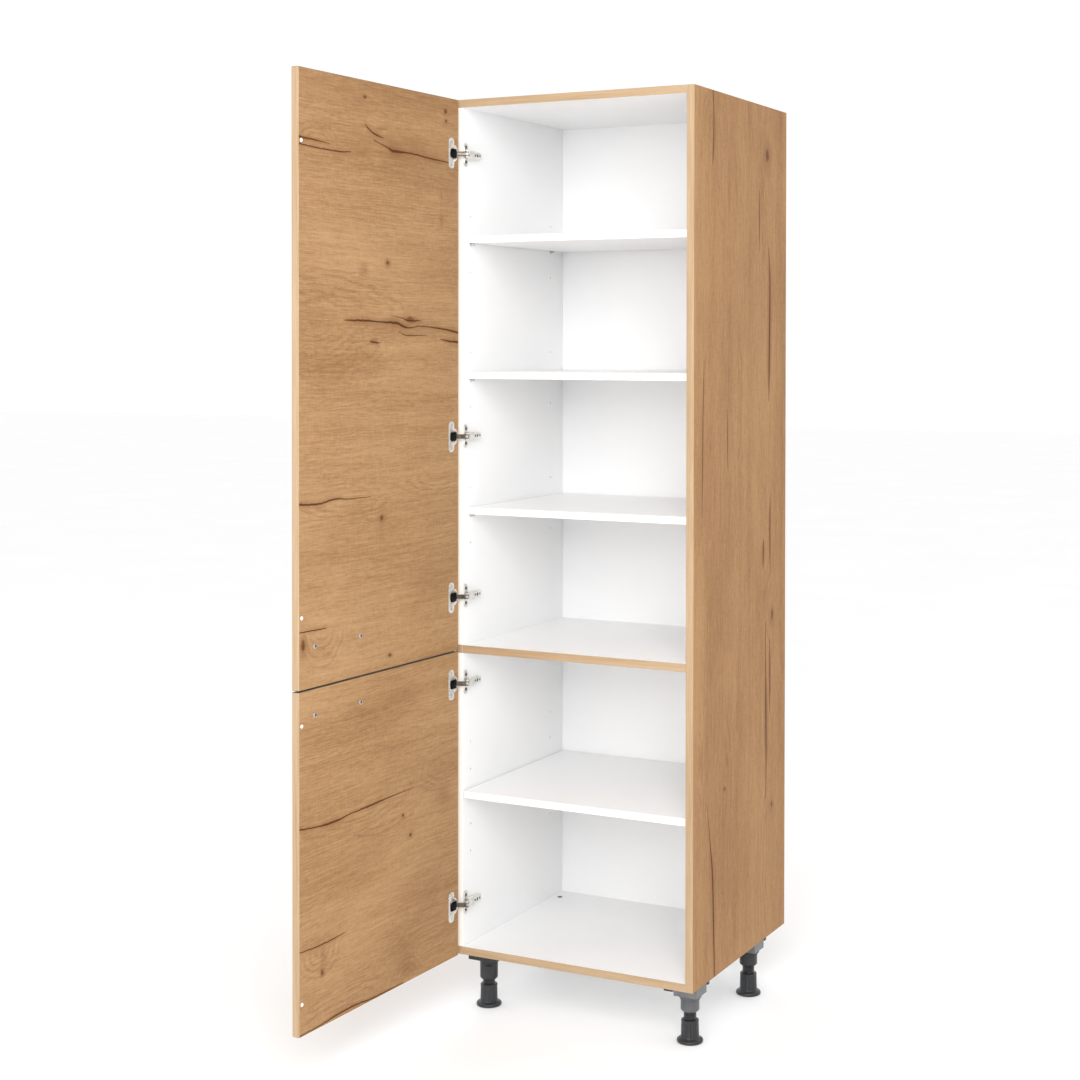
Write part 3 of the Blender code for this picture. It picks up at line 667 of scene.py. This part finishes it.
def stack(builder, rings, first=True, last=True):
    """Skin over rings of equal point counts, with its ends closed or left open."""
    rows = [[builder.verts.new(point) for point in ring] for ring in rings]
    count = len(rows[0])
    for lower, upper in zip(rows, rows[1:]):
        for index in range(count):
            following = (index + 1) % count
            builder.faces.new((lower[index], lower[following], upper[following], upper[index]))
    if first:
        builder.faces.new(rows[0])
    if last:
        builder.faces.new(rows[-1])
    return builder


def ring(radius, height, count=48, shape=None):
    """Circle of points about z. shape gives a factor on the radius for each angle."""
    points = []
    for index in range(count):
        angle = 2 * math.pi * index / count
        reach = radius * (shape(angle) if shape else 1.0)
        points.append((reach * math.cos(angle), reach * math.sin(angle), height))
    return points


def arc(centre, radius, start, end, steps):
    """Points on part of a circle between two angles in degrees."""
    angles = [math.radians(start + (end - start) * step / steps) for step in range(steps + 1)]
    return [(centre[0] + radius * math.cos(a), centre[1] + radius * math.sin(a)) for a in angles]


def rounded(low, high, radius, steps=5):
    """Outline of a rectangle with round corners."""
    outline = []
    turns = [(high[0] - radius, high[1] - radius), (low[0] + radius, high[1] - radius),
             (low[0] + radius, low[1] + radius), (high[0] - radius, low[1] + radius)]
    for quarter, centre in enumerate(turns):
        outline += arc(centre, radius, quarter * 90, quarter * 90 + 90, steps)
    return outline


def scaled(outline, inset):
    """Outline pulled in by about that much towards its middle."""
    middle_x = (min(p[0] for p in outline) + max(p[0] for p in outline)) / 2
    middle_y = (min(p[1] for p in outline) + max(p[1] for p in outline)) / 2
    reach_x = max(p[0] for p in outline) - middle_x
    reach_y = max(p[1] for p in outline) - middle_y
    share_x, share_y = 1 - inset / reach_x, 1 - inset / reach_y
    return [(middle_x + (x - middle_x) * share_x, middle_y + (y - middle_y) * share_y) for x, y in outline]


def plate(builder, outline, low, high, axis, edge):
    """Plate with softened rims, its outline in the plane across axis 0, 1 or 2."""
    def lift(points, height):
        return [[*point[:axis], height, *point[axis:]] for point in points]
    inner = scaled(outline, edge)
    return stack(builder, [lift(inner, low), lift(outline, low + edge), lift(outline, high - edge),
                           lift(inner, high)])


def screw_head(builder, place, radius, height, recess=True):
    """Low domed head along local z, with a cross recess or plain, added to a mesh."""
    head = bmesh.new()
    profile = [(radius, 0.0), (radius * 0.98, height * 0.35), (radius * 0.82, height * 0.80),
               (radius * 0.50, height)]
    count = 32

    def cross(angle):
        turn = (angle + math.pi / 4) % (math.pi / 2) - math.pi / 4
        return 1.0 if abs(turn) < 0.30 else 0.42
    rings = [ring(r, h, count) for r, h in profile]
    if recess:
        rings += [ring(radius * 0.50, height * 0.99, count, cross),
                  ring(radius * 0.40, height * 0.25, count, cross)]
    merge(builder, stack(head, rings), place)


def facing(point, direction):
    """Placement at a point with local z along a direction."""
    return Matrix.Translation(point) @ Vector(direction).to_track_quat("Z", "X").to_matrix().to_4x4()


def assign(node, materials, pick):
    """Material slots on a CAD node, with an index for each face from its normal and middle."""
    mesh = frame["nodes"][node].data
    mesh.materials.clear()
    for material in materials:
        mesh.materials.append(material)
    for polygon in mesh.polygons:
        polygon.material_index = pick(polygon.normal, polygon.center)


# ---------------------------------------------------------------- boards and doors
def dress_carcass(white, raw, brown):
    """Oak outside, white inside, light strips on the front edges, bare board behind."""
    # The right side's shade is painted shade: darker than the doors as if it got less light, and deeper in
    # colour to offset the pale sheen at its grazing angle.
    right = oak("oak_right_side", CABINET, "zy", RIGHT_LOOKS, 11.0,
                shade=(0.88, 0.81, 0.70), light_band=(0.060, 0.030, 0.07))
    left = oak("oak_left_side", CABINET, "zy", LEFT_LOOKS, 31.0)
    upright = edge_band("oak_strip_upright", CABINET, "zx", 3.0)
    left_upright = hidden_strip()
    level = edge_band("oak_strip_level", CABINET, "xz", 5.0)
    for node, outside, sign in (("side_right", right, 1), ("side_left", left, -1)):
        def pick(normal, centre):
            if normal.y < -0.5:
                return 1
            if normal.y > 0.9 and centre.y > ORIGIN.y + DEPTH - 0.001:
                return 3
            return 0 if normal.x * sign > 0.5 else 2
        assign(node, [outside, left_upright if sign < 0 else upright, white, raw], pick)
    for node in ("top_panel", "bottom_panel", "middle_panel"):
        def pick_level(normal, centre):
            if normal.y < -0.5:
                return 1
            return 2 if normal.y > 0.9 and centre.y > ORIGIN.y + DEPTH - 0.001 else 0
        assign(node, [white, level, raw], pick_level)
    assign("back_panel", [white, brown], lambda normal, centre: 1 if normal.y > 0.5 else 0)
    for number in (1, 2, 3, 4):
        assign(f"shelf_{number}", [white], lambda normal, centre: 0)


def dress_doors():
    """Horizontal oak on both faces of each leaf, light strips round its edges."""
    strip_upright = edge_band("door_strip_upright", LEAF, "zy", 7.0)
    strip_level = edge_band("door_strip_level", LEAF, "xy", 9.0, 0.30)
    outer = oak("oak_doors_outside", LEAF, "xz", OUTER_LOOKS, 47.0)
    out = LEAF.to_3x3() @ Vector((0.0, 1.0, 0.0))
    for label, looks, seed in (("upper", UPPER_LOOKS, 21.0), ("lower", LOWER_LOOKS, 23.0)):
        inner = oak(f"oak_{label}_door_inside", LEAF, "xz", looks, seed)

        def pick(normal, centre):
            if abs(normal.dot(out)) > 0.9:
                return 0 if normal.dot(out) > 0 else 1
            return 3 if abs(normal.z) > 0.5 else 2
        assign(f"{label}_door", [inner, outer, strip_upright, strip_level], pick)


# ---------------------------------------------------------------- hinges
def flange_outline(inset=0.0):
    """Cup flange about the cup's centre, as (s, z): a disc with tall wings on its far side."""
    radius = CUP_RADIUS - inset
    wing = CUP_WING - inset
    back = inset - 0.003
    corner = 0.009
    meet = math.degrees(math.acos(back / radius))
    upper = [(radius, z) for z in (0.0, 0.012, 0.024)]
    upper += arc((radius - corner, wing - corner), corner, 0, 90, 5)
    upper += arc((back + corner, wing - corner), corner, 90, 180, 5)
    upper += arc((0.0, 0.0), radius, meet, 180, 12)
    return upper + [(x, -z) for x, z in reversed(upper[1:-1])]


def circled(outline, radius):
    """Circle with a point in the direction of each point of an outline."""
    return [(x * radius / math.hypot(x, z), z * radius / math.hypot(x, z)) for x, z in outline]


def opening_rim(outline, grow):
    """Rim of the cup's opening, a rounded rectangle, with a point for each one of an outline."""
    (low_s, _), (high_s, high_z) = CUP_OPENING
    half_s, half_z = (high_s - low_s) / 2 + grow, high_z + grow
    power = 5.0
    points = []
    for x, z in outline:
        angle = math.atan2(z, x)
        part_s = abs(math.cos(angle) / half_s) ** power
        part_z = abs(math.sin(angle) / half_z) ** power
        reach = (part_s + part_z) ** (-1 / power)
        points.append(((low_s + high_s) / 2 + reach * math.cos(angle), reach * math.sin(angle)))
    return points


def upright_pin(builder, x, y, radius, ends):
    """Pin along z between two heights."""
    stack(builder, [[(x + px, y + py, z) for px, py, _ in ring(radius, 0.0, 16)] for z in ends])


def hinge_cup(label, height, metals):
    """Pressed flange with its opening, the cup behind it, two screws and the ends of the inner pins."""
    place = LEAF @ Matrix.Translation((CUP_CENTRE, 0.0, height))
    body = label.split("_")[0] + "_door"
    outline = flange_outline()
    levels = [(circled(outline, 0.0160), -0.0115), (circled(outline, 0.0163), -0.0005),
              (opening_rim(outline, 0.0002), -0.0004), (opening_rim(outline, 0.0), CUP_FACE - 0.0005),
              (opening_rim(outline, 0.0006), CUP_FACE), (flange_outline(0.0006), CUP_FACE),
              (outline, CUP_FACE - 0.0005), (outline, 0.0003)]
    rows = [[(x, out, z) for x, z in points] for points, out in levels]
    builder = stack(bmesh.new(), rows, last=False)
    # The cup's walls and floor behind the flange take the black plastic: partly the damper's dark parts,
    # partly painted shade on the steel cup, which looks black only in its shadow.
    make_piece(f"{label}_cup_pressing", builder, [metals["nickel"], metals["black"]], body, place,
               faces=lambda p: 1 if p.y < -0.0002 else 0, node=f"{label}_cup")

    screws = bmesh.new()
    for z in (0.0265, -0.0265):
        screw_head(screws, facing((0.0085, CUP_FACE - 0.0002, z), (0, 1, 0)), 0.0036, 0.0011)
    for s, out in ((0.0075, -0.0035), (0.0020, -0.0065)):
        for ends in ((-0.0108, -0.0080), (0.0080, 0.0108)):
            upright_pin(screws, s, out, 0.0013, ends)
    make_piece(f"{label}_cup_screws", screws, metals["steel"], body, place)


def hinge_link(label, height, metals):
    """Two pressed link plates joined by a web."""
    turn = Matrix.Rotation(math.radians(LINK_ANGLE), 4, "Z")
    place = CABINET @ Matrix.Translation((*LINK_AXIS, height)) @ turn
    body = label.split("_")[0] + "_hinge_links"
    builder = bmesh.new()
    outline = arc((0.0, 0.0), 0.0025, 60, 300, 14) + arc((LINK_REACH, 0.0), 0.0014, -90, 90, 8)
    for low_z, high_z in ((-0.0051, -0.0030), (0.0030, 0.0051)):
        plate(builder, outline, low_z, high_z, 2, 0.0003)
    web_start, web_end = 0.0035, LINK_REACH - 0.002
    web = [(web_start, -0.0009), (web_end, -0.0009), (web_end, 0.0004), (web_start, 0.0004)]
    plate(builder, web, -0.0029, 0.0029, 2, 0.0002)
    make_piece(f"{label}_link_pressing", builder, metals["chrome"], body, place,
               node=f"{label}_link")


def arm_profile(crest, half):
    """Section of the arm across its length, a channel open towards the side panel."""
    skin = [(ARM_BASE, 0.0), (crest - 0.0016, 0.0), (crest - 0.0005, 0.0006), (crest, 0.0018)]
    lining = [(crest - 0.0022, 0.0016), (ARM_BASE, 0.0012)]
    outside = [(x, d - half) for x, d in skin] + [(x, half - d) for x, d in reversed(skin)]
    inside = [(x, half - d) for x, d in reversed(lining)] + [(x, d - half) for x, d in lining]
    return outside + inside


def hinge_arm(label, height, metals):
    """Arm with its folded sides, flared cover, adjusting screws and fork."""
    place = CABINET @ Matrix.Translation((0.0, 0.0, height))
    builder = bmesh.new()
    stations = [(0.0040, 0.0092, 0.0), (0.0080, 0.0100, 0.0), (0.0180, 0.0100, 0.0),
                (0.0260, 0.0086, 0.0012), (0.0330, 0.0078, 0.0018), (0.0600, 0.0078, 0.0018),
                (0.0655, 0.0070, 0.0030)]
    stack(builder, [[(x, y, z) for x, z in arm_profile(ARM_CREST - drop, half)]
                    for y, half, drop in stations])
    cheek = arc(LINK_AXIS, 0.0030, 170, 350, 14) + [(0.0335, 0.010), (0.0296, 0.010)]
    for low_z, high_z in ((0.0053, 0.0074), (-0.0074, -0.0053)):
        plate(builder, cheek, low_z, high_z, 2, 0.0003)
    upright_pin(builder, *LINK_AXIS, 0.0012, (-0.0073, 0.0073))
    make_piece(f"{label}_arm_pressing", builder, metals["nickel"], "carcass", place,
               node=f"{label}_arm")

    flare = [(0.0290, 0.0060), (0.0275, 0.0092), (0.0250, 0.0098), (0.0130, 0.0066)]
    trapezoid = [(y, -z) for y, z in reversed(flare)] + flare
    levels = [(trapezoid, ARM_CREST - 0.0016), (scaled(trapezoid, 0.0008), ARM_CREST - 0.0002)]
    cover = stack(bmesh.new(), [[(x, y, z) for y, z in points] for points, x in levels])
    make_piece(f"{label}_arm_cover", cover, metals["satin"], "carcass", place)

    screws = bmesh.new()
    for y, radius in ((0.0350, 0.0034), (0.0450, 0.0042), (0.0560, 0.0030)):
        screw_head(screws, facing((ARM_CREST - 0.0028, y, 0.0), (1, 0, 0)), radius, 0.0016)
    make_piece(f"{label}_arm_screws", screws, metals["dark"], "carcass", place)


def hinge_plate(label, height, metals):
    """Mounting plate with round lobes, its block and its two screws."""
    place = CABINET @ Matrix.Translation((0.0, 0.0, height))
    wing, half, lobe, lobe_y = 0.0275, 0.0072, 0.0085, 0.0110
    outline = [(0.062, -half), (0.062, half), (0.021, half), (0.0185, half + 0.0022)]
    outline += arc((lobe_y, wing - lobe), lobe, -20, 190, 16)
    outline += [(0.0045, half + 0.0030), (0.0040, half)]
    outline += [(y, -z) for y, z in reversed(outline[2:])]
    builder = bmesh.new()
    plate(builder, outline, INNER_LEFT + 0.0003, INNER_LEFT + 0.0025, 0, 0.0005)
    riser = rounded((0.0142, -0.0068), (0.0615, 0.0068), 0.0015)
    plate(builder, riser, PLATE_FACE, 0.0296, 0, 0.0006)
    make_piece(f"{label}_plate_casting", builder, metals["satin"], "carcass", place,
               node=f"{label}_plate")
    screws = bmesh.new()
    for z in (0.0170, -0.0170):
        screw_head(screws, facing((PLATE_FACE, lobe_y, z), (1, 0, 0)), 0.0042, 0.0014)
    make_piece(f"{label}_plate_screws", screws, metals["dark"], "carcass", place)


# ---------------------------------------------------------------- handles and small door fittings
def sweep(builder, path, radius, count=20):
    """Round bar along a flat path of (x, y) points."""
    turns = [2 * math.pi * step / count for step in range(count)]
    rings = []
    for index, point in enumerate(path):
        before = Vector(path[max(index - 1, 0)])
        after = Vector(path[min(index + 1, len(path) - 1)])
        run = (after - before).normalized()
        side = Vector((run.y, -run.x)) * radius
        rings.append([(point[0] + side.x * math.cos(turn), point[1] + side.y * math.cos(turn),
                       radius * math.sin(turn)) for turn in turns])
    return stack(builder, rings)


def door_handle(label, steel):
    """Bent round bar with a small collar at each foot. Returns its height."""
    low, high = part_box(f"{label}_handle")
    height = (low.z + high.z) / 2
    half = HANDLE_SPACING / 2
    turn_y = HANDLE_BEND - HANDLE_REACH
    path = [(-half, 0.0), (-half, turn_y)]
    path += arc((HANDLE_BEND - half, turn_y), HANDLE_BEND, 180, 270, 12)[1:]
    path += [(-half / 2, -HANDLE_REACH), (0.0, -HANDLE_REACH)]
    path += [(-x, y) for x, y in reversed(path[:-1])]
    builder = sweep(bmesh.new(), path, HANDLE_RADIUS - 0.00005)
    for side in (-half, half):
        stack(builder, [[(side + x, out, z) for x, z, _ in ring(0.0072, 0.0, 28)]
                        for out in (0.0, -0.0012)])
    middle = (LEAF_WIDTH - HANDLE_EDGE - half, -LEAF_THICKNESS - 0.0003, height)
    place = LEAF @ Matrix.Translation(middle)
    make_piece(f"{label}_bar_handle", builder, steel, f"{label}_door", place,
               node=f"{label}_handle")
    return height


def door_fittings(label, stop_heights, steel, dark, clear):
    """Outer handle, its screws seen on the inner face, and the soft stops at the free edge."""
    height = door_handle(label, steel)
    collars, screws = bmesh.new(), bmesh.new()
    for back in (0.0, HANDLE_SPACING):
        place = LEAF @ facing((LEAF_WIDTH - HANDLE_EDGE - back, 0.0, height), (0, 1, 0))
        screw_head(collars, place, 0.0058, 0.0008, recess=False)
        screw_head(screws, place, 0.0034, 0.0017)
    still = Matrix.Identity(4)
    for kind, builder, finish in (("collars", collars, steel), ("screws", screws, dark)):
        make_piece(f"{label}_handle_{kind}", builder, finish, f"{label}_door", still)
    stops = bmesh.new()
    for z in stop_heights:
        dome = [(0.0042, 0.0), (0.0042, 0.0006), (0.0036, 0.0012), (0.0023, 0.0015)]
        dot = stack(bmesh.new(), [ring(r, h, 28) for r, h in dome])
        merge(stops, dot, LEAF @ facing((LEAF_WIDTH - STOP_EDGE, 0.0, z), (0, 1, 0)))
    make_piece(f"{label}_door_stops", stops, clear, f"{label}_door", still, smooth=50)


# ---------------------------------------------------------------- legs
def lobes(angle):
    """Broad flats with narrow grooves between them, round the foot's collar."""
    turn = (angle * 12 / (2 * math.pi)) % 1.0
    groove = min(turn, 1.0 - turn)
    return 1.0 - 0.055 * max(0.0, 1.0 - groove / 0.13)


def leg_foot(label, place, material):
    """Levelling foot: disc pad, straight fluted collar, threaded stem."""
    count = 144
    pad = [(0.0278, 0.0), (0.0291, 0.0012), (0.0295, 0.0030), (0.0291, 0.0058), (0.0280, 0.0070),
           (0.0236, 0.0086), (0.0212, 0.0094)]
    collar = [(0.0208, 0.0100), (0.0203, 0.0150), (0.0200, 0.0250), (0.0197, 0.0430)]
    rim = [(0.0198, 0.0440), (0.0198, 0.0490), (0.0188, 0.0502), (0.0140, 0.0506)]
    rings = [ring(r, z, count) for r, z in pad]
    rings += [ring(r, z, count, lobes) for r, z in collar]
    rings += [ring(r, z, count) for r, z in rim]
    steps_per_turn, turns = 4, 12
    for step in range(turns * steps_per_turn + 1):
        crest = step % steps_per_turn in (1, 2)
        z = THREAD_START + step * THREAD_PITCH / steps_per_turn
        rings.append(ring(THREAD_RADIUS if crest else THREAD_ROOT, z, count))
    make_piece(f"{label}_levelling_foot", stack(bmesh.new(), rings), material, f"foot_{label[4:]}",
               place, smooth=35, node=f"{label}_foot")


def mounting_block(low, high, bottom, top):
    """Block under the board round the sleeve's head, hollow so that the stem can rise into it."""
    count = 96
    turns = [2 * math.pi * step / count for step in range(count)]
    rays = [Vector((math.cos(turn), math.sin(turn))) for turn in turns]
    outline = []
    for ray in rays:
        ends = [(high if part > 0 else low)[axis] / part
                for axis, part in enumerate(ray) if abs(part) > 1e-6]
        outline.append(ray * min(ends))
    bore = [ray * SLEEVE_BORE for ray in rays]
    levels = [(bore, top - 0.0090), (bore, bottom), (outline, bottom), (outline, top)]
    return stack(bmesh.new(), [[(x, y, z) for x, y in points] for points, z in levels])


def fine_profile(profile):
    """Profile with its long stretches cut into short ones, so that a slot can be pressed into them."""
    steps = []
    for (r0, z0), (r1, z1) in zip(profile, profile[1:]):
        parts = 14 if z0 - z1 > 0.008 else 1
        steps += [(r0 + (r1 - r0) * part / parts, z0 + (z1 - z0) * part / parts)
                  for part in range(parts)]
    return steps + [profile[-1]]


def leg_sleeve(head, low, slotted):
    """Sleeve from its head down to its mouth, with a small slot near its top on one kind."""
    slot_angle, slot_z = math.radians(-64), SOCKET_TOP - 0.0365

    def slot_at(angle, z):
        turn = abs((angle - slot_angle + math.pi) % (2 * math.pi) - math.pi)
        return 0.90 if slotted and turn < 0.33 and abs(z - slot_z) < 0.0036 else 1.0
    mouth = [(SLEEVE_RADIUS, low + 0.0060), (0.0204, low + 0.0040), (0.0170, low + 0.0006),
             (0.0160, low), (0.0152, low), (0.0152, low + 0.030)]
    rings = [ring(r, z, 96, lambda angle, z=z: slot_at(angle, z)) for r, z in fine_profile(head + mouth)]
    return stack(bmesh.new(), rings, first=False, last=False)


def leg_clips():
    """Two clips beside the socket, one under the board's front and one under the side."""
    clips = bmesh.new()
    front = rounded((-0.0520, -0.0290), (-0.0300, -0.0200), 0.001, 3)
    side = rounded((0.0215, 0.0320), (0.0295, 0.0420), 0.001, 3)
    plate(clips, front, SOCKET_TOP - 0.0235, SOCKET_TOP - 0.0185, 2, 0.0006)
    plate(clips, side, SOCKET_TOP - 0.0170, SOCKET_TOP - 0.0010, 2, 0.0006)
    return clips


def leg_socket(label, place, stepped, sleeve, block, clip):
    """Socket under the board, stepped or plain, in up to three finishes."""
    if stepped:
        bottom = SOCKET_TOP - 0.0315
        corners = ((-0.0280, -0.0280), (0.0280, 0.0280))
        head = [(0.0262, bottom), (0.0258, SOCKET_TOP - 0.0365), (0.0228, SOCKET_TOP - 0.0380),
                (0.0224, SOCKET_TOP - 0.0420), (SLEEVE_RADIUS, SOCKET_TOP - 0.0435)]
        parts = [("sleeve", leg_sleeve(head, 0.0680, False), sleeve)]
    else:
        bottom = SOCKET_TOP - 0.0290
        corners = ((-0.0400, -0.0270), (0.0310, 0.0270))
        head = [(0.0216, bottom), (SLEEVE_RADIUS, SOCKET_TOP - 0.0400)]
        parts = [("sleeve", leg_sleeve(head, 0.0610, True), sleeve)]
    parts.append(("block", mounting_block(*corners, bottom, SOCKET_TOP), block))
    if stepped:
        parts.append(("clips", leg_clips(), clip))
    for kind, builder, material in parts:
        make_piece(f"{label}_{kind}", builder, material, "carcass", place,
                   smooth=32, node=f"{label}_socket")


def build_legs(dark, grey, light):
    """Four legs. The ones on the left are all dark, and the ones on the right have a lighter block."""
    finishes = {
        "leg_front_left": (False, dark, dark, dark),
        "leg_rear_left": (False, dark, dark, dark),
        "leg_front_right": (True, grey, light, dark),
        "leg_rear_right": (True, dark, light, dark),
    }
    for label, finish in finishes.items():
        low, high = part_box(f"{label}_foot")
        place = Matrix.Translation(((low.x + high.x) / 2, (low.y + high.y) / 2, 0.0))
        leg_foot(label, place, dark)
        leg_socket(label, place, *finish)


# ---------------------------------------------------------------- pins and bottom caps
def dress_pins(steel):
    for number in (1, 2, 3, 4):
        for corner in ("front_left", "front_right", "rear_left", "rear_right"):
            node = f"shelf_{number}_pin_{corner}"
            assign(node, [steel], lambda normal, centre: 0)
            mesh = frame["nodes"][node].data
            mesh.shade_smooth()
            mesh.set_sharp_from_angle(angle=math.radians(35))


def bottom_caps(material):
    """Covers of the two holes through which the rear legs are levelled."""
    inset, back = 0.038, 0.449
    dish = [(0.0060, 0.0), (0.0060, 0.0004), (0.0052, 0.0009), (0.0048, 0.0005)]
    for side, x in (("left", inset), ("right", WIDTH - inset)):
        builder = stack(bmesh.new(), [ring(r, h, 28) for r, h in dish])
        place = Matrix.Translation(at(x, back, CARCASS_LOW + BOARD))
        make_piece(f"levelling_cap_{side}", builder, material, "carcass", place)


# ---------------------------------------------------------------- studio
FLOOR_HALF = 30.0
FLOOR_TOP = -0.0005
CAMERA_PLACE = (2.2198, -3.7177, 1.5494)
CAMERA_HEADING = 0.4697
CAMERA_DIP = 0.0145
CAMERA_ROLL = 0.0012


def area_light(name, place, target, power):
    data = bpy.data.lights.new(name, "AREA")
    data.shape = "RECTANGLE"
    data.size = data.size_y = 2.4
    data.energy = power
    light = bpy.data.objects.new(name, data)
    light.location = place
    light.rotation_euler = (Vector(target) - Vector(place)).to_track_quat("-Z", "Y").to_euler()
    bpy.context.scene.collection.objects.link(light)


def build_floor():
    material, tree, shader = new_material("pale_floor", 0.6, specular=0.2)
    x, y, z = local_axes(tree, Matrix.Identity(4))
    cloud = noise(x * 1.5, y * 1.5, z, 3.0)
    tones = colour_ramp(cloud, [(0.3, (0.955, 0.955, 0.955)), (0.7, (0.975, 0.975, 0.975))])
    tree.links.new(tones, shader.inputs["Base Color"])
    builder = bmesh.new()
    corners = [(-1, -1), (1, -1), (1, 1), (-1, 1)]
    verts = [builder.verts.new((x * FLOOR_HALF, y * FLOOR_HALF, FLOOR_TOP)) for x, y in corners]
    builder.faces.new(verts)
    mesh = bpy.data.meshes.new("floor")
    builder.to_mesh(mesh)
    builder.free()
    mesh.materials.append(material)
    floor = bpy.data.objects.new("floor", mesh)
    bpy.context.scene.collection.objects.link(floor)


def build_studio():
    """White room, pale floor, two wide soft lights and the camera."""
    scene = bpy.context.scene
    scene.view_settings.view_transform = "Standard"
    world = bpy.data.worlds.new("studio")
    world.use_nodes = True
    background = world.node_tree.nodes["Background"]
    background.inputs["Color"].default_value = (1.0, 1.0, 1.0, 1.0)
    background.inputs["Strength"].default_value = 1.02
    scene.world = world
    build_floor()
    area_light("key", (2.0, -3.9, 3.0), (0.0, 0.0, 1.4), 128.0)
    area_light("fill", (0.0, -4.4, 1.4), (0.0, 0.0, 1.2), 34.0)

    data = bpy.data.cameras.new("camera")
    data.lens = 62.19
    data.sensor_width = 36.0
    data.shift_x = -0.0408
    data.shift_y = -0.1542
    camera = bpy.data.objects.new("camera", data)
    turn = (Matrix.Rotation(CAMERA_HEADING, 4, "Z") @ Matrix.Rotation(math.pi / 2 - CAMERA_DIP, 4, "X")
            @ Matrix.Rotation(CAMERA_ROLL, 4, "Z"))
    camera.matrix_world = Matrix.Translation(at(*CAMERA_PLACE)) @ turn
    scene.collection.objects.link(camera)
    scene.camera = camera


def main():
    steel = metal("brushed_steel", (0.66, 0.66, 0.64), 0.30)
    dark_steel = metal("dark_screw_steel", (0.16, 0.16, 0.17), 0.42)
    metals = {
        "nickel": metal("nickel_plate", (0.93, 0.91, 0.86), 0.30, mark=0.10),
        "chrome": metal("dull_chrome", (0.13, 0.11, 0.09), 0.26, mark=0.55),
        "satin": metal("satin_nickel", (0.88, 0.87, 0.83), 0.36, mark=0.15),
        # Black inside the hinge cups: partly the damper's dark plastic, partly painted shade on the steel
        # cup.
        "black": plastic("damper_plastic_and_painted_shade", (0.012, 0.012, 0.013), 0.5),
        "steel": steel,
        "dark": dark_steel,
    }
    dark = plastic("dark_leg_plastic", (0.016, 0.017, 0.019), 0.33)
    grey = plastic("grey_leg_plastic", (0.078, 0.080, 0.086), 0.36)
    light_grey = plastic("light_grey_leg_plastic", (0.130, 0.132, 0.138), 0.38)
    clear = plastic("soft_stop_rubber", (0.80, 0.72, 0.66), 0.35)
    dress_carcass(white_melamine(), chipboard(), hardboard())
    dress_doors()
    for door, number in HINGES:
        label = f"{door}_hinge_{number}"
        low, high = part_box(f"{label}_plate")
        for build in (hinge_cup, hinge_link, hinge_arm, hinge_plate):
            build(label, (low.z + high.z) / 2, metals)
    door_fittings("upper", (1.9675, 0.995), steel, dark_steel, clear)
    door_fittings("lower", (0.774, 0.204), steel, dark_steel, clear)
    build_legs(dark, grey, light_grey)
    dress_pins(steel)
    bottom_caps(dark)
    build_studio()


main()
